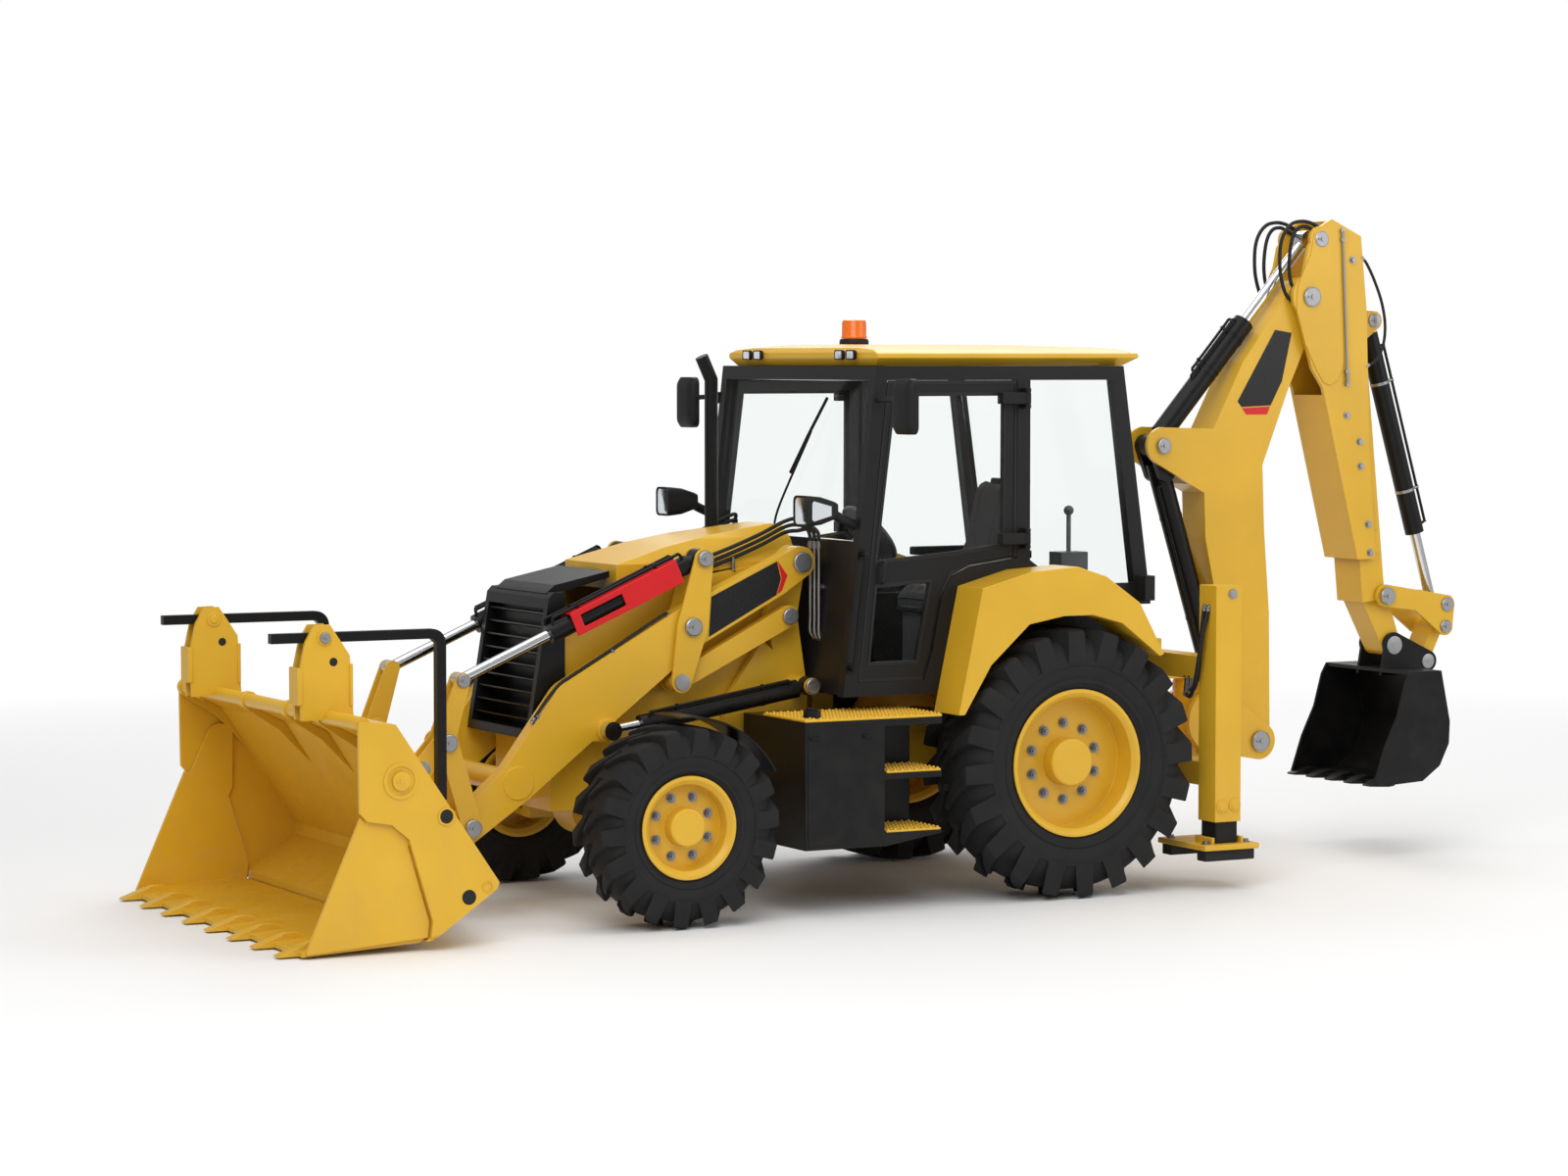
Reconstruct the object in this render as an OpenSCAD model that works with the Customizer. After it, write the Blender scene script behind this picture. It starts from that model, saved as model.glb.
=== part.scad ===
/* [Wheels] */
// Distance between the front and rear axles
wheelbase = 2200; // [2100:10:2300]
// Rear tyre radius over the lugs
rear_r = 680; // [660:5:700]
// Rear tyre width
rear_w = 440; // [400:5:460]
// Rear wheel centre from the middle of the machine
rear_y = 861; // [850:1:880]
// Rear rim flange radius
rear_rim_r = 371; // [340:1:390]
// Front tyre radius over the lugs
front_r = 482; // [460:2:495]
// Front tyre width
front_w = 340; // [300:5:360]
// Front wheel centre from the middle of the machine
front_y = 975; // [960:1:1000]
// Front rim flange radius
front_rim_r = 248; // [230:1:270]
// Steering king pin from the middle of the machine
king_y = 770; // [760:1:780]

/* [Loader] */
// Rear pivot of the loader arms: forward, up
arm_pivot = [1265, 1690]; // [1000:1:2000]
// From the arm pivot to the levelling link's pivot on the tower
level_step = [60, -268]; // [-400:1:400]
// Pivot of the rear lever on the arm
lever_pin = [1875, 1388]; // [1000:1:2000]
// Rear pin of the tilt cylinder, on top of the rear lever
tilt_base = [1811, 1719]; // [1000:1:2000]
// Front pin of the tilt cylinder
tilt_eye = [3083, 1168]; // [1000:1:4000]
// Pin between the idler and the front lever
idler_top = [3179, 879]; // [500:1:4000]
// Pin of the idler on the arm
idler_foot = [3058, 467]; // [300:1:4000]
// Hinge of the loader bucket on the arm
bucket_hinge = [3170, 345]; // [300:1:4000]
// Lift cylinder pin on the tower
lift_base = [1254, 1079]; // [900:1:2000]
// Lift cylinder pin on the arm
lift_eye = [2334, 902]; // [800:1:2500]
// Cross tube between the arms
cross_tube = [2800, 665]; // [500:1:3000]
// Inner face of the arms
arm_in = 396; // [392:1:400]
// Thickness of the arms
arm_t = 88; // [80:1:96]
// Thickness of lever plates
plate_t = 16; // [12:1:18]
// Pin radius of the loader linkage
pin_r = 30; // [24:1:34]
// Half width of the loader bucket
bucket_half = 1217; // [1150:1:1260]
// Plate thickness of the loader bucket
bucket_t = 20; // [14:1:26]

/* [Backhoe] */
// Swing axis behind the rear axle
swing_x = -1370; // [-1400:1:-1360]
// Boom foot pin: forward, up
boom_foot = [-1715, 640]; // [-2500:1:2500]
// Shared pin of the boom and stick cylinders
boom_lug = [-1114, 2234]; // [-2500:1:2500]
// Boom to stick pin
boom_nose = [-2029, 3030]; // [-2500:1:3500]
// Stick cylinder pin on the stick
stick_top = [-2092, 3341]; // [-2500:1:3500]
// Boom cylinder pin on the swing post
boom_rod_pin = [-1540, 890]; // [-2500:1:2500]
// Half width of the boom
boom_half = 108; // [100:1:112]
// Half width of the stick
stick_half = 154; // [150:1:158]
// Half width of the sliding stick
slide_half = 118; // [112:1:120]
// Hoe bucket pivot on the sliding stick
hoe_pivot = [-2628, 1125]; // [-3000:1:3000]
// Lever pivot on the sliding stick
hoe_lever_pin = [-2548, 1400]; // [-3000:1:3000]
// Cylinder pin on the lever
hoe_eye = [-2962, 1342]; // [-3000:1:3000]
// Link pin on the lever
hoe_link_top = [-2952, 1220]; // [-3000:1:3000]
// Link pin on the hoe bucket
hoe_link_foot = [-2858, 1030]; // [-3000:1:3000]
// Bucket cylinder pin on the sliding stick
hoe_base = [-2497, 2905]; // [-3000:1:3000]
// Half width of the hoe bucket
hoe_half = 395; // [300:1:396]
// Stabiliser leg from the middle of the machine
leg_y = 1027; // [1010:1:1040]
// Stabiliser leg behind the rear axle
leg_x = -864; // [-870:1:-858]
// Width of the stabiliser's outer tube
tube_w = 155; // [150:1:160]

/* [Cab] */
// Outer face of the cab sides
cab_y = 830; // [824:1:832]
// Thickness of the cab sides
cab_t = 60; // [50:1:66]
// Half width of the roof
roof_half = 800; // [780:1:830]
// Underside of the roof
roof_z = 2660; // [2655:1:2680]
// Door hinge axis: forward, left
hinge = [190, 872]; // [100:1:900]

/* [Hidden] */
$fn = 48;
yellow = "#e2a918";
black = "#1b1b1c";
grey = "#55575a";
chrome = "#c8cacc";
run = 0.4;
nose = wheelbase + 300;
box_front = wheelbase - 640;
tooth_pitch = (2 * bucket_half - 264) / 7;
lug_lean = 32;
guard_r = front_r + 38;
guard_in = 826;
guard_from = 85;
guard_to = 152;
stay_y = 776;
lug_w = 46;
tow_r = 26;
tow_t = 40;
tie_r = 24;
tie_t = 30;
tie_y = 450;
gap = 8;
tooth_tip = 4262;
lever_end_r = 52;
mid_x = (tooth_tip + hoe_eye[0] - lever_end_r) / 2;
arm_out = arm_in + arm_t;
outer_y = arm_out + gap;
inner_y = arm_in - gap;
idler_in = inner_y - 2 * plate_t - 6;
idler_out = outer_y + plate_t + 6;
eye_half = 24;
lift_y = 540;
lift_half = 28;
arm_mid = arm_in + arm_t / 2;
level_pin = arm_pivot + level_step;
lever_foot = lever_pin + level_step;
lever_nose = bucket_hinge + idler_top - idler_foot;
slide_lean = 5.74;
slide_top = [-2400, 2973];

// Puts the middle of the machine's length at the origin
module placed() {
    translate([-mid_x, 0, 0]) children();
}

// Outline in the side view, extruded from y0 to y1
module side(y0, y1) {
    translate([0, y1, 0]) rotate([90, 0, 0]) linear_extrude(y1 - y0) children();
}

module both() {
    children();
    mirror([0, 1, 0]) children();
}

// Round bar along the width at a point of the side view
module pin(p, r, y0, y1) {
    translate([p[0], y1, p[1]]) rotate([90, 0, 0]) cylinder(r = r, h = y1 - y0);
}

function along(p, q) = atan2(q[1] - p[1], q[0] - p[0]);
function dist(p, q) = norm(q - p);
function polar(r, a) = r * [cos(a), sin(a)];
function toward(p, q, d) = p + polar(d, along(p, q));

// Plate between two circles, with straight edges that touch both
module strap(p, q, rp, rq) {
    a = along(p, q);
    b = acos((rp - rq) / dist(p, q));
    translate(p) circle(rp);
    translate(q) circle(rq);
    polygon([p + polar(rp - 0.6, a + b), q + polar(rq - 0.6, a + b), q + polar(rq - 0.6, a - b), p + polar(rp - 0.6, a - b)]);
}

module chain(points, radii) {
    for (i = [0 : len(points) - 2]) strap(points[i], points[i + 1], radii[i], radii[i + 1]);
}

// Cylinder tube from its base pin toward its rod pin
module barrel(base, eye, r, rod_r, length, eye_r, bore, half) {
    a = along(base, eye);
    difference() {
        union() {
            pin(base, eye_r, -half, half);
            translate([base[0], 0, base[1]]) rotate([0, 90 - a, 0]) {
                translate([0, 0, eye_r - 12]) cylinder(r = min(r * 0.7, half - 4), h = 40);
                translate([0, 0, eye_r + 20]) cylinder(r = r, h = length - eye_r - 20);
            }
        }
        pin(base, bore + run, -half - 1, half + 1);
        translate([base[0], 0, base[1]]) rotate([0, 90 - a, 0])
            translate([0, 0, eye_r + 60]) cylinder(r = rod_r + run, h = length);
    }
}

// Rod from inside its tube to its eye
module rod(base, eye, r, inside, eye_r, half) {
    a = along(base, eye);
    translate([base[0], 0, base[1]]) rotate([0, 90 - a, 0])
        translate([0, 0, inside]) cylinder(r = r, h = dist(base, eye) - inside - eye_r + 8);
    pin(eye, eye_r, -half, half);
}

// Tyre outline: radius, width, flange radius
module tyre_outline(r, w, f) {
    bead = f - 22;
    difference() {
        polygon([[bead, -w * 0.4], [f + 1, -w * 0.4], [f + 20, -w * 0.455], [f + (r - f) * 0.5, -w * 0.5],
            [r - 45, -w * 0.485], [r - 10, -w * 0.46], [r, -w * 0.4], [r, w * 0.4], [r - 10, w * 0.46],
            [r - 45, w * 0.485], [f + (r - f) * 0.5, w * 0.5], [f + 20, w * 0.455], [f + 1, w * 0.4],
            [bead, w * 0.4]]);
        polygon([[bead - 1, -w * 0.34], [f + 20, -w * 0.38], [f + (r - f) * 0.5, -w * 0.42],
            [r - 90, -w * 0.4], [r - 65, -w * 0.34], [r - 65, w * 0.34], [r - 90, w * 0.4],
            [f + (r - f) * 0.5, w * 0.42], [f + 20, w * 0.38], [bead - 1, w * 0.34]]);
    }
}

// Leaning bars of the tread, cut round at the tyre's radius
module lugs(r, w, h, n) {
    bar = w * 0.47 / cos(lug_lean);
    intersection() {
        for (hand = [-1, 1], i = [0 : n - 1]) rotate([0, (i + (hand > 0 ? 0.5 : 0)) * 360 / n, 0])
            translate([0, hand * w * 0.24, -r - 5]) rotate([0, 0, hand * lug_lean])
                translate([-lug_w / 2, -bar / 2, 0]) cube([lug_w, bar, h + 25]);
        rotate([90, 0, 0]) cylinder(r = r, h = w, center = true);
    }
}

module tyre(r, w, f, h, n) {
    rotate([90, 0, 0]) rotate_extrude() tyre_outline(r - h, w, f);
    lugs(r, w, h, n);
}

// Rim with its disc set in by dish from the outer flange and its hub cap
module rim(w, f, dish, hub_r, cap, spindle_r) {
    seat = f - 22.4;
    edge = w * 0.4 + run;
    face = edge + 12;
    disc = face - dish;
    rotate([-90, 0, 0]) difference() {
        rotate_extrude() {
            polygon([[f, -face], [f, -edge], [seat, -edge], [seat, edge], [f, edge], [f, face],
                [f - 18, face], [seat - 20, edge - 10], [seat - 20, disc], [hub_r + 40, disc + 8],
                [hub_r, disc + 8], [hub_r, cap - 8], [hub_r - 8, cap], [0, cap], [0, disc - 60],
                [hub_r + 10, disc - 60], [hub_r + 10, disc - 22], [seat - 20, disc - 26],
                [seat - 20, -edge + 10], [f - 18, -face]]);
        }
        translate([0, 0, disc - 61]) cylinder(r = spindle_r + run, h = 61 + 20);
    }
}

module rear_wheel_at(s) {
    translate([0, s * rear_y, rear_r]) mirror([0, s < 0 ? 1 : 0, 0]) children();
}

module front_wheel_at(s) {
    translate([wheelbase, s * front_y, front_r]) mirror([0, s < 0 ? 1 : 0, 0]) children();
}

module rear_tyre(s) {
    color(black) placed() rear_wheel_at(s) tyre(rear_r, rear_w, rear_rim_r, 36, 20);
}

module front_tyre(s) {
    color(black) placed() front_wheel_at(s) tyre(front_r, front_w, front_rim_r, 27, 18);
}

module rear_rim(s) {
    color(yellow) placed() rear_wheel_at(s) rim(rear_w, rear_rim_r, 150, 120, 140, 80);
}

module front_rim(s) {
    color(yellow) placed() front_wheel_at(s) rim(front_w, front_rim_r, 95, 92, 135, 55);
}

// Steering knuckle between the axle's yokes, with the spindle of the wheel
module knuckle(s) {
    rim_back = front_w * 0.4 + run + 12 - 95 - 60;
    color(black) placed() translate([wheelbase, 0, front_r]) mirror([0, s < 0 ? 1 : 0, 0]) {
        translate([0, king_y, -78]) cylinder(r = 62, h = 156);
        translate([0, king_y, -118]) cylinder(r = 26, h = 236);
        translate([0, king_y + 20, 0]) rotate([-90, 0, 0])
            cylinder(r = 76, h = front_y + rim_back - 12 - king_y - 20);
        translate([0, king_y + 20, 0]) rotate([-90, 0, 0])
            cylinder(r = 55, h = front_y + rim_back + 70 - king_y - 20);
        side(guard_in, guard_in + 290) difference() {
            circle(guard_r + 8, $fn = 96);
            circle(guard_r, $fn = 96);
            rotate(guard_from) translate([-guard_r - 50, -guard_r - 50]) square([2 * guard_r + 100, guard_r + 50]);
            rotate(guard_to) translate([-guard_r - 50, 0]) square([2 * guard_r + 100, guard_r + 50]);
        }
        side(stay_y, stay_y + 16) chain([[0, 0], polar(210, 168), polar(guard_r + 4, 135)], [56, 34, 26]);
        pin(polar(guard_r + 4, 135), 18, stay_y, guard_in + 60);
    }
}

module axles() {
    rear_back = rear_w * 0.4 + run + 12 - 150 - 60;
    color(yellow) placed() {
        translate([0, -560, rear_r]) rotate([-90, 0, 0]) cylinder(r = 115, h = 1120);
        translate([0, -170, rear_r]) rotate([-90, 0, 0]) cylinder(r = 215, h = 340);
        both() {
            translate([0, 470, rear_r]) rotate([-90, 0, 0]) cylinder(r = 165, h = 120);
            translate([0, 500, rear_r]) rotate([-90, 0, 0]) cylinder(r = 80, h = rear_y + rear_back + 70 - 500);
        }
        translate([wheelbase, -600, front_r]) rotate([-90, 0, 0]) cylinder(r = 75, h = 1200);
        translate([wheelbase, -120, front_r]) rotate([-90, 0, 0]) cylinder(r = 150, h = 240);
        both() difference() {
            union() {
                for (z = [-116, 84]) translate([wheelbase - 62, 560, front_r + z]) cube([124, king_y - 560, 32]);
                for (z = [-116, 84]) translate([wheelbase, king_y, front_r + z]) cylinder(r = 62, h = 32);
                translate([wheelbase - 80, 540, front_r - 116]) cube([160, 100, 232]);
            }
            translate([wheelbase, king_y, front_r - 130]) cylinder(r = 26 + run, h = 260);
        }
    }
}

module loader_tower() {
    side(342, inner_y) difference() {
        union() {
            chain([arm_pivot, level_pin, lift_base], [78, 88, 70]);
            polygon([[1180, 720], [1180, 1090], [1430, 1300], [1640, 1000], [1640, 720]]);
        }
    }
    pin(arm_pivot, 36, 342, arm_out + 8);
    pin(arm_pivot, 50, arm_out + 2, arm_out + 16);
    pin(level_pin, pin_r, 342, arm_mid + 38);
    pin(level_pin, 46, inner_y - 1, arm_mid - 31);
    pin(level_pin, 42, arm_mid + 32, arm_mid + 44);
    pin(lift_base, pin_r, 342, lift_y + 42);
    pin(lift_base, 46, inner_y - 1, lift_y - lift_half - 1);
    pin(lift_base, 42, lift_y + lift_half + 1, lift_y + 46);
}

module main_frame() {
    axle_top = front_r + 150.3;
    color(yellow) placed() {
        difference() {
            union() {
                both() translate([-749.7, 230, 640]) cube([nose + 780, 100, 220]);
                translate([-160, -231, 790]) cube([320, 462, 70]);
                translate([wheelbase - 140, -231, axle_top]) cube([280, 462, 860 - axle_top]);
            }
            pin([0, rear_r], 115.3, -400, 400);
            pin([0, rear_r], 215.3, -180, 180);
        }
        both() {
            translate([1180, 329, 720]) cube([460, 14, 140]);
            loader_tower();
            side(306, 330) polygon([[1240, 850], [1240, 1700], [nose - 300, 1560], [nose - 0.5, 1470], [nose - 0.5, 850]]);
            for (x = [-300, 1000]) translate([x, 230, 850]) cube([120, 100, 189.7]);
        }
        translate([nose - 140, -330, 500]) cube([200, 660, 360]);
        difference() {
            translate([nose + 50, -80, 540]) cube([105, 160, tow_t]);
            translate([nose + 110, 0, 530]) cylinder(r = tow_r, h = tow_t + 20);
        }
        translate([700, -231, 640]) cube([160, 462, 220]);
    }
}

module engine_block() {
    color(grey) placed() difference() {
        translate([1420, -260, 860.3]) cube([1000, 520, 560]);
        translate([2300, -261, 1200]) cube([200, 522, 300]);
    }
}

// Slanted front with its slats and the dark panel on top
module radiator_cowl() {
    color(black) placed() {
        difference() {
            side(-372, 372) translate([nose, 0])
                polygon([[0, 860.3], [195, 860.3], [190, 900], [85, 1540], [60, 1566], [0, 1570]]);
            side(-330, 330) translate([nose, 0]) polygon([[45, 905], [220, 905], [220, 1490], [45, 1490]]);
        }
        for (i = [0 : 8]) side(-332, 332) translate([nose + 162 - i * 10.5, 930 + i * 64])
            polygon([[-60, 0], [10, 18], [14, 26], [-60, 10]]);
        side(-300, 300) polygon([[hood_axis[0] + 22, 1630], [hood_axis[0] + 22, 1662], [nose + 20, 1600], [nose + 70, 1560], [nose, 1560]]);
        both() {
            for (y = [100, 188]) side(y, y + 12) strap(hood_axis, hood_axis + [60, -10], 14, 12);
            pin(hood_axis, 8, 100, 200);
        }
    }
}

// Lid over the engine, hinged at its front edge, with a corner cut for the exhaust
hood_axis = [2206, 1640];

module hood() {
    top = [[1190, 1500], [1190, 1862], [1250, 1870], [1660, 1818], [1906, 1768], [2190, 1690], [2190, 1566],
        [1560, 1660]];
    color(yellow) placed() difference() {
        intersection() {
            side(-300, 300) polygon(top);
            translate([1100, 0, 0]) rotate([90, 0, 90]) linear_extrude(1200)
                polygon([[-300, 1500], [-300, 1690], [-230, 1800], [-120, 1875], [120, 1875], [230, 1800],
                    [300, 1690], [300, 1500]]);
        }
        intersection() {
            side(-278, 278) polygon([[1100, 1400], [1100, 1838], [1250, 1846], [1660, 1794], [1906, 1744], [2168, 1672],
                [2168, 1400]]);
            translate([1000, 0, 0]) rotate([90, 0, 90]) linear_extrude(1300)
                polygon([[-278, 1400], [-278, 1680], [-214, 1780], [-112, 1850], [112, 1850], [214, 1780],
                    [278, 1680], [278, 1400]]);
        }
        translate([1100, -400, 1400]) cube([360, 210, 600]);
    }
    color(yellow) placed() both() difference() {
        side(116, 184) strap(hood_axis, hood_axis + [-24, 0], 14, 14);
        pin(hood_axis, 8 + run, 110, 190);
    }
}

module cab_side() {
    difference() {
        side(cab_y - cab_t, cab_y) difference() {
            polygon([[1215, 1040], [1030, roof_z], [-400, roof_z], [-570, 1450], [560, 1450], [690, 1040]]);
            polygon([[1134, 1110], [970, 2590], [225, 2590], [225, 1700], [505, 1665], [600, 1625], [660, 1520],
                [712, 1250], [760, 1110]]);
            polygon([[150, 2590], [150, 1690], [-40, 1560], [-470, 1560], [-335, 2590]]);
        }
    }
    for (h = [1800, 2500]) {
        translate([hinge[0] - 16, cab_y - 2, h - 50]) cube([32, hinge[1] - cab_y + 2, 20]);
        translate([hinge[0] - 16, cab_y - 2, h + 30]) cube([32, hinge[1] - cab_y + 2, 20]);
        for (z = [-50, 30]) translate([hinge[0], hinge[1], h + z]) cylinder(r = 16, h = 20);
        translate([hinge[0], hinge[1], h - 50]) cylinder(r = 8, h = 100);
    }
}

module cab_frame() {
    wall = cab_y - cab_t + 1;
    color(black) placed() {
        both() {
            cab_side();
            translate([-480, 600, 1080]) cube([1080, 20, 370]);
            translate([-480, 600, 1420]) cube([1080, wall - 600, 30]);
        }
        side(-wall, wall) polygon([[1112, 1040], [1056, 1800], [1112, 1800], [1172, 1040]]);
        side(-wall, wall) polygon([[960, 2590], [952, roof_z], [1030, roof_z], [1038, 2590]]);
        side(-wall, wall) polygon([[-400, roof_z], [-410, 2590], [-345, 2590], [-335, roof_z]]);
        side(-wall, wall) polygon([[-570, 1450], [-558, 1540], [-498, 1540], [-510, 1450]]);
        translate([-480, -620, 1040]) cube([1640, 1240, 42]);
        translate([-500, -620, 1040]) cube([30, 1240, 440]);
    }
}

module cab_roof() {
    edge = roof_z + 0.3;
    color(yellow) placed() difference() {
        intersection() {
            side(-roof_half, roof_half) polygon([[-440, edge], [-511, edge + 44], [-505, 2722], [-420, 2752], [0, 2766],
                [900, 2768], [985, 2752], [1010, 2728], [1010, 2700], [985, edge]]);
            translate([-600, 0, 0]) rotate([90, 0, 90]) linear_extrude(1700)
                polygon([[-roof_half + 50, edge], [-roof_half, edge + 40], [-roof_half, 2722], [-roof_half + 60, 2742],
                    [-300, 2768], [300, 2768], [roof_half - 60, 2742], [roof_half, 2722], [roof_half, edge + 40],
                    [roof_half - 50, edge]]);
        }
        translate([-300, -640, roof_z - 1]) cube([1200, 1280, 60]);
    }
}

module cab_glass() {
    wall = cab_y - cab_t;
    color("#9fb4bd") placed() {
        side(-wall + 0.3, wall - 0.3) polygon([[1088, 1800.3], [1000, 2589.7], [1008, 2589.7], [1096, 1800.3]]);
        side(-wall + 0.3, wall - 0.3) polygon([[-530, 1540.3], [-382, 2589.7], [-374, 2589.7], [-522, 1540.3]]);
        both() side(cab_y - 40, cab_y - 34) polygon([[149.7, 2589.7], [149.7, 1690.3], [-40, 1560.3], [-469.5, 1560.3], [-334.5, 2589.7]]);
    }
}

module cab_interior() {
    color(grey) placed() {
        translate([820, -330, 1082.3]) cube([240, 660, 600]);
        translate([-80, -200, 1082.3]) cube([380, 400, 300]);
        translate([800, 0, 1640]) rotate([0, -50, 0]) cylinder(r = 40, h = 260);
        translate([800, 0, 1640]) rotate([0, -50, 0]) translate([0, 0, 250]) rotate_extrude() translate([170, 0]) circle(14);
        translate([800, 0, 1640]) rotate([0, -50, 0]) translate([0, 0, 240]) cylinder(r = 172, h = 14);
        both() translate([-430, 330, 1082.3]) cube([160, 120, 620]);
        both() translate([-350, 390, 1700]) cylinder(r = 12, h = 220);
        both() translate([-350, 390, 1915]) sphere(26);
    }
}

module seat() {
    color(grey) placed() {
        translate([-120, -240, 1382.6]) cube([480, 480, 130]);
        side(-230, 230) polygon([[-130, 1513], [-240, 2080], [-140, 2080], [0, 1513]]);
    }
}

fender_top = [[-492, 1212], [-345, 1475], [-150, 1610], [20, 1664], [290, 1646], [570, 1571], [640, 1250], [705, 950]];
fender_low = [[670, 950], [520, 1190], [300, 1385], [100, 1420], [-70, 1420], [-240, 1375], [-466, 1202]];

module fenders() {
    color(yellow) placed() both() {
        side(cab_y + 0.3, 1080) polygon(concat(fender_top, fender_low));
    }
}

module side_boxes() {
    color(black) placed() {
        both() {
            difference() {
                union() {
                    side(430, 1080) polygon([[800, 380], [800, 950], [box_front, 950], [box_front, 330], [1110, 330]]);
                }
                translate([790, 760, 395]) cube([330, 330, 260]);
                translate([790, 760, 685]) cube([330, 330, 230]);
            }
            translate([830, 330.3, 650]) cube([320, 120, 190]);
        }
    }
}

module step_treads() {
    color(yellow) placed() both() {
        translate([800, 640, 950.3]) cube([box_front - 800, 440, 14]);
        for (z = [685.3, 395.3]) translate([806, 770, z]) cube([304, 310, 12]);
    }
}

module exhaust_stack() {
    color(black) placed() {
        translate([1395, -245, 1430]) cylinder(r = 34, h = 1160);
        translate([1395, -245, 2590]) rotate([0, 25, 0]) cylinder(r = 34, h = 130);
        translate([1395, -245, 2590]) sphere(34);
        translate([1422, -290, 1420.6]) cube([60, 90, 30]);
        translate([1395, -260, 1420.6]) cube([40, 30, 30]);
    }
}

// Just ahead of the cab's front post at a height
function post_x(z) = 1215.3 - 185 * (z - 1040) / (roof_z - 1040);

module lamps_and_mirrors() {
    color(black) placed() {
        both() {
            translate([1230, 690, 1880]) cube([190, 150, 150]);
            side(740, 800)
                polygon([[post_x(1900), 1900], [1240, 1930], [1240, 1900], [post_x(1860), 1860]]);
            translate([1040, 1080, 2330]) cube([60, 190, 270]);
            translate([1000, cab_y + 0.3, 2480]) cube([60, 290, 24]);
        }
        both() {
            pin([1180, 1180], 14, cab_y + 0.3, cab_y + 50);
            pin([1114, 1740], 14, cab_y + 0.3, cab_y + 50);
            side(cab_y + 36, cab_y + 60) strap([1180, 1180], [1114, 1740], 13, 13);
            translate([-540, cab_y + 0.3, 1470]) cube([60, 90, 130]);
            side(620, 710) polygon([[-452, 2600], [-452, 2652], [-402, 2652], [-409.3, 2600]]);
        }
        for (y = [-560, -440, 440, 560]) translate([1010.3, y - 40, 2690]) cube([24, 80, 50]);
        translate([700, 0, 2768.3]) cylinder(r = 75, h = 30);
        translate([700, 0, 2798]) cylinder(r = 62, h = 100);
    }
}

module door(s) {
    color(black) placed() mirror([0, s < 0 ? 1 : 0, 0]) {
        side(cab_y - 45, cab_y - 5) difference() {
            polygon([[1126, 1118], [963, 2582], [233, 2582], [233, 1708], [509, 1673], [607, 1632], [668, 1523],
                [720, 1254], [766, 1118]]);
            polygon([[1030, 1700], [925, 2520], [300, 2520], [300, 1770], [560, 1735]]);
            polygon([[1070, 1200], [1030, 1580], [720, 1600], [800, 1200]]);
        }
        side(cab_y - 28, cab_y - 22) polygon([[1035, 1695], [929, 2525], [295, 2525], [295, 1765], [560, 1730]]);
        side(cab_y - 28, cab_y - 22) polygon([[1075, 1195], [1034, 1585], [715, 1605], [795, 1195]]);
        for (h = [1800, 2500]) {
            difference() {
                union() {
                    translate([hinge[0], hinge[1], h - 29]) cylinder(r = 16, h = 58);
                    translate([hinge[0], hinge[1] - 8, h - 29]) cube([110, 16, 58]);
                    translate([240, cab_y - 6, h - 29]) cube([60, hinge[1] - cab_y + 6, 58]);
                }
                translate([hinge[0], hinge[1], h - 30]) cylinder(r = 8 + run, h = 60);
            }
        }
    }
}

arm_points = [arm_pivot, [1405, 1612], lever_pin, [2475, 998], cross_tube, idler_foot, bucket_hinge];
arm_radii = [78, 90, 108, 160, 98, 80, 47];

module loader_arms() {
    color(yellow) placed() {
        both() difference() {
            union() {
                side(arm_in, arm_out) {
                    chain(arm_points, arm_radii);
                    strap([2450, 1005], lift_eye, 150, 60);
                }
                pin(lift_eye, 56, arm_out - 1, lift_y - lift_half - 0.5);
                pin(lever_pin, pin_r, inner_y - plate_t - 6, outer_y + plate_t + 6);
            }
            pin(arm_pivot, 36 + run, arm_in - 1, arm_out + 1);
            pin(idler_foot, pin_r + run, arm_in - 1, arm_out + 1);
            pin(bucket_hinge, pin_r + run, arm_in - 1, arm_out + 1);
        }
        pin(cross_tube, 58, -arm_in - 1, arm_in + 1);
        both() pin(cross_tube, 80, arm_out - 1, arm_out + 6);
    }
}

module level_links() {
    color(yellow) placed() both() difference() {
        side(arm_mid - 30, arm_mid + 30) strap(level_pin, lever_foot, 54, 48);
        for (p = [level_pin, lever_foot]) pin(p, pin_r + run, arm_in, arm_out);
    }
}

module rear_levers() {
    color(yellow) placed() both() {
        for (y = [inner_y - plate_t, outer_y]) side(y, y + plate_t) difference() {
            chain([tilt_base, lever_pin, lever_foot], [50, 84, 54]);
            translate(lever_pin) circle(pin_r + run);
        }
        for (p = [tilt_base, lever_foot]) pin(p, pin_r, inner_y - plate_t - 4, outer_y + plate_t + 8);
    }
}

module tilt_barrels() {
    color(black) placed() both() translate([0, arm_mid, 0])
        barrel(tilt_base, tilt_eye, 48, 27, 880, 48, pin_r, 40);
}

module tilt_rods() {
    color(chrome) placed() both() translate([0, arm_mid, 0]) rod(tilt_base, tilt_eye, 27, 400, 38, eye_half);
}

// Red safety strut stowed on the left tilt cylinder
module service_brace() {
    a = along(tilt_base, tilt_eye);
    color("#c4161c") placed() translate([tilt_base[0], arm_mid, tilt_base[1]]) rotate([0, 90 - a, 0])
        translate([0, 0, 140]) difference() {
            translate([-60, -60, 0]) cube([120, 120, 620]);
            translate([-48.3, -48.3, -1]) cube([120, 96.6, 622]);
            translate([-30, 40, 330]) cube([60, 40, 240]);
        }
}

module idler_links() {
    color(yellow) placed() both() for (y = [idler_in, idler_out]) side(y, y + plate_t) difference() {
        chain([idler_foot, toward(idler_foot, idler_top, 230), idler_top], [50, 52, 50]);
        for (p = [idler_foot, idler_top]) translate(p) circle(pin_r + run);
    }
}

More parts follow.
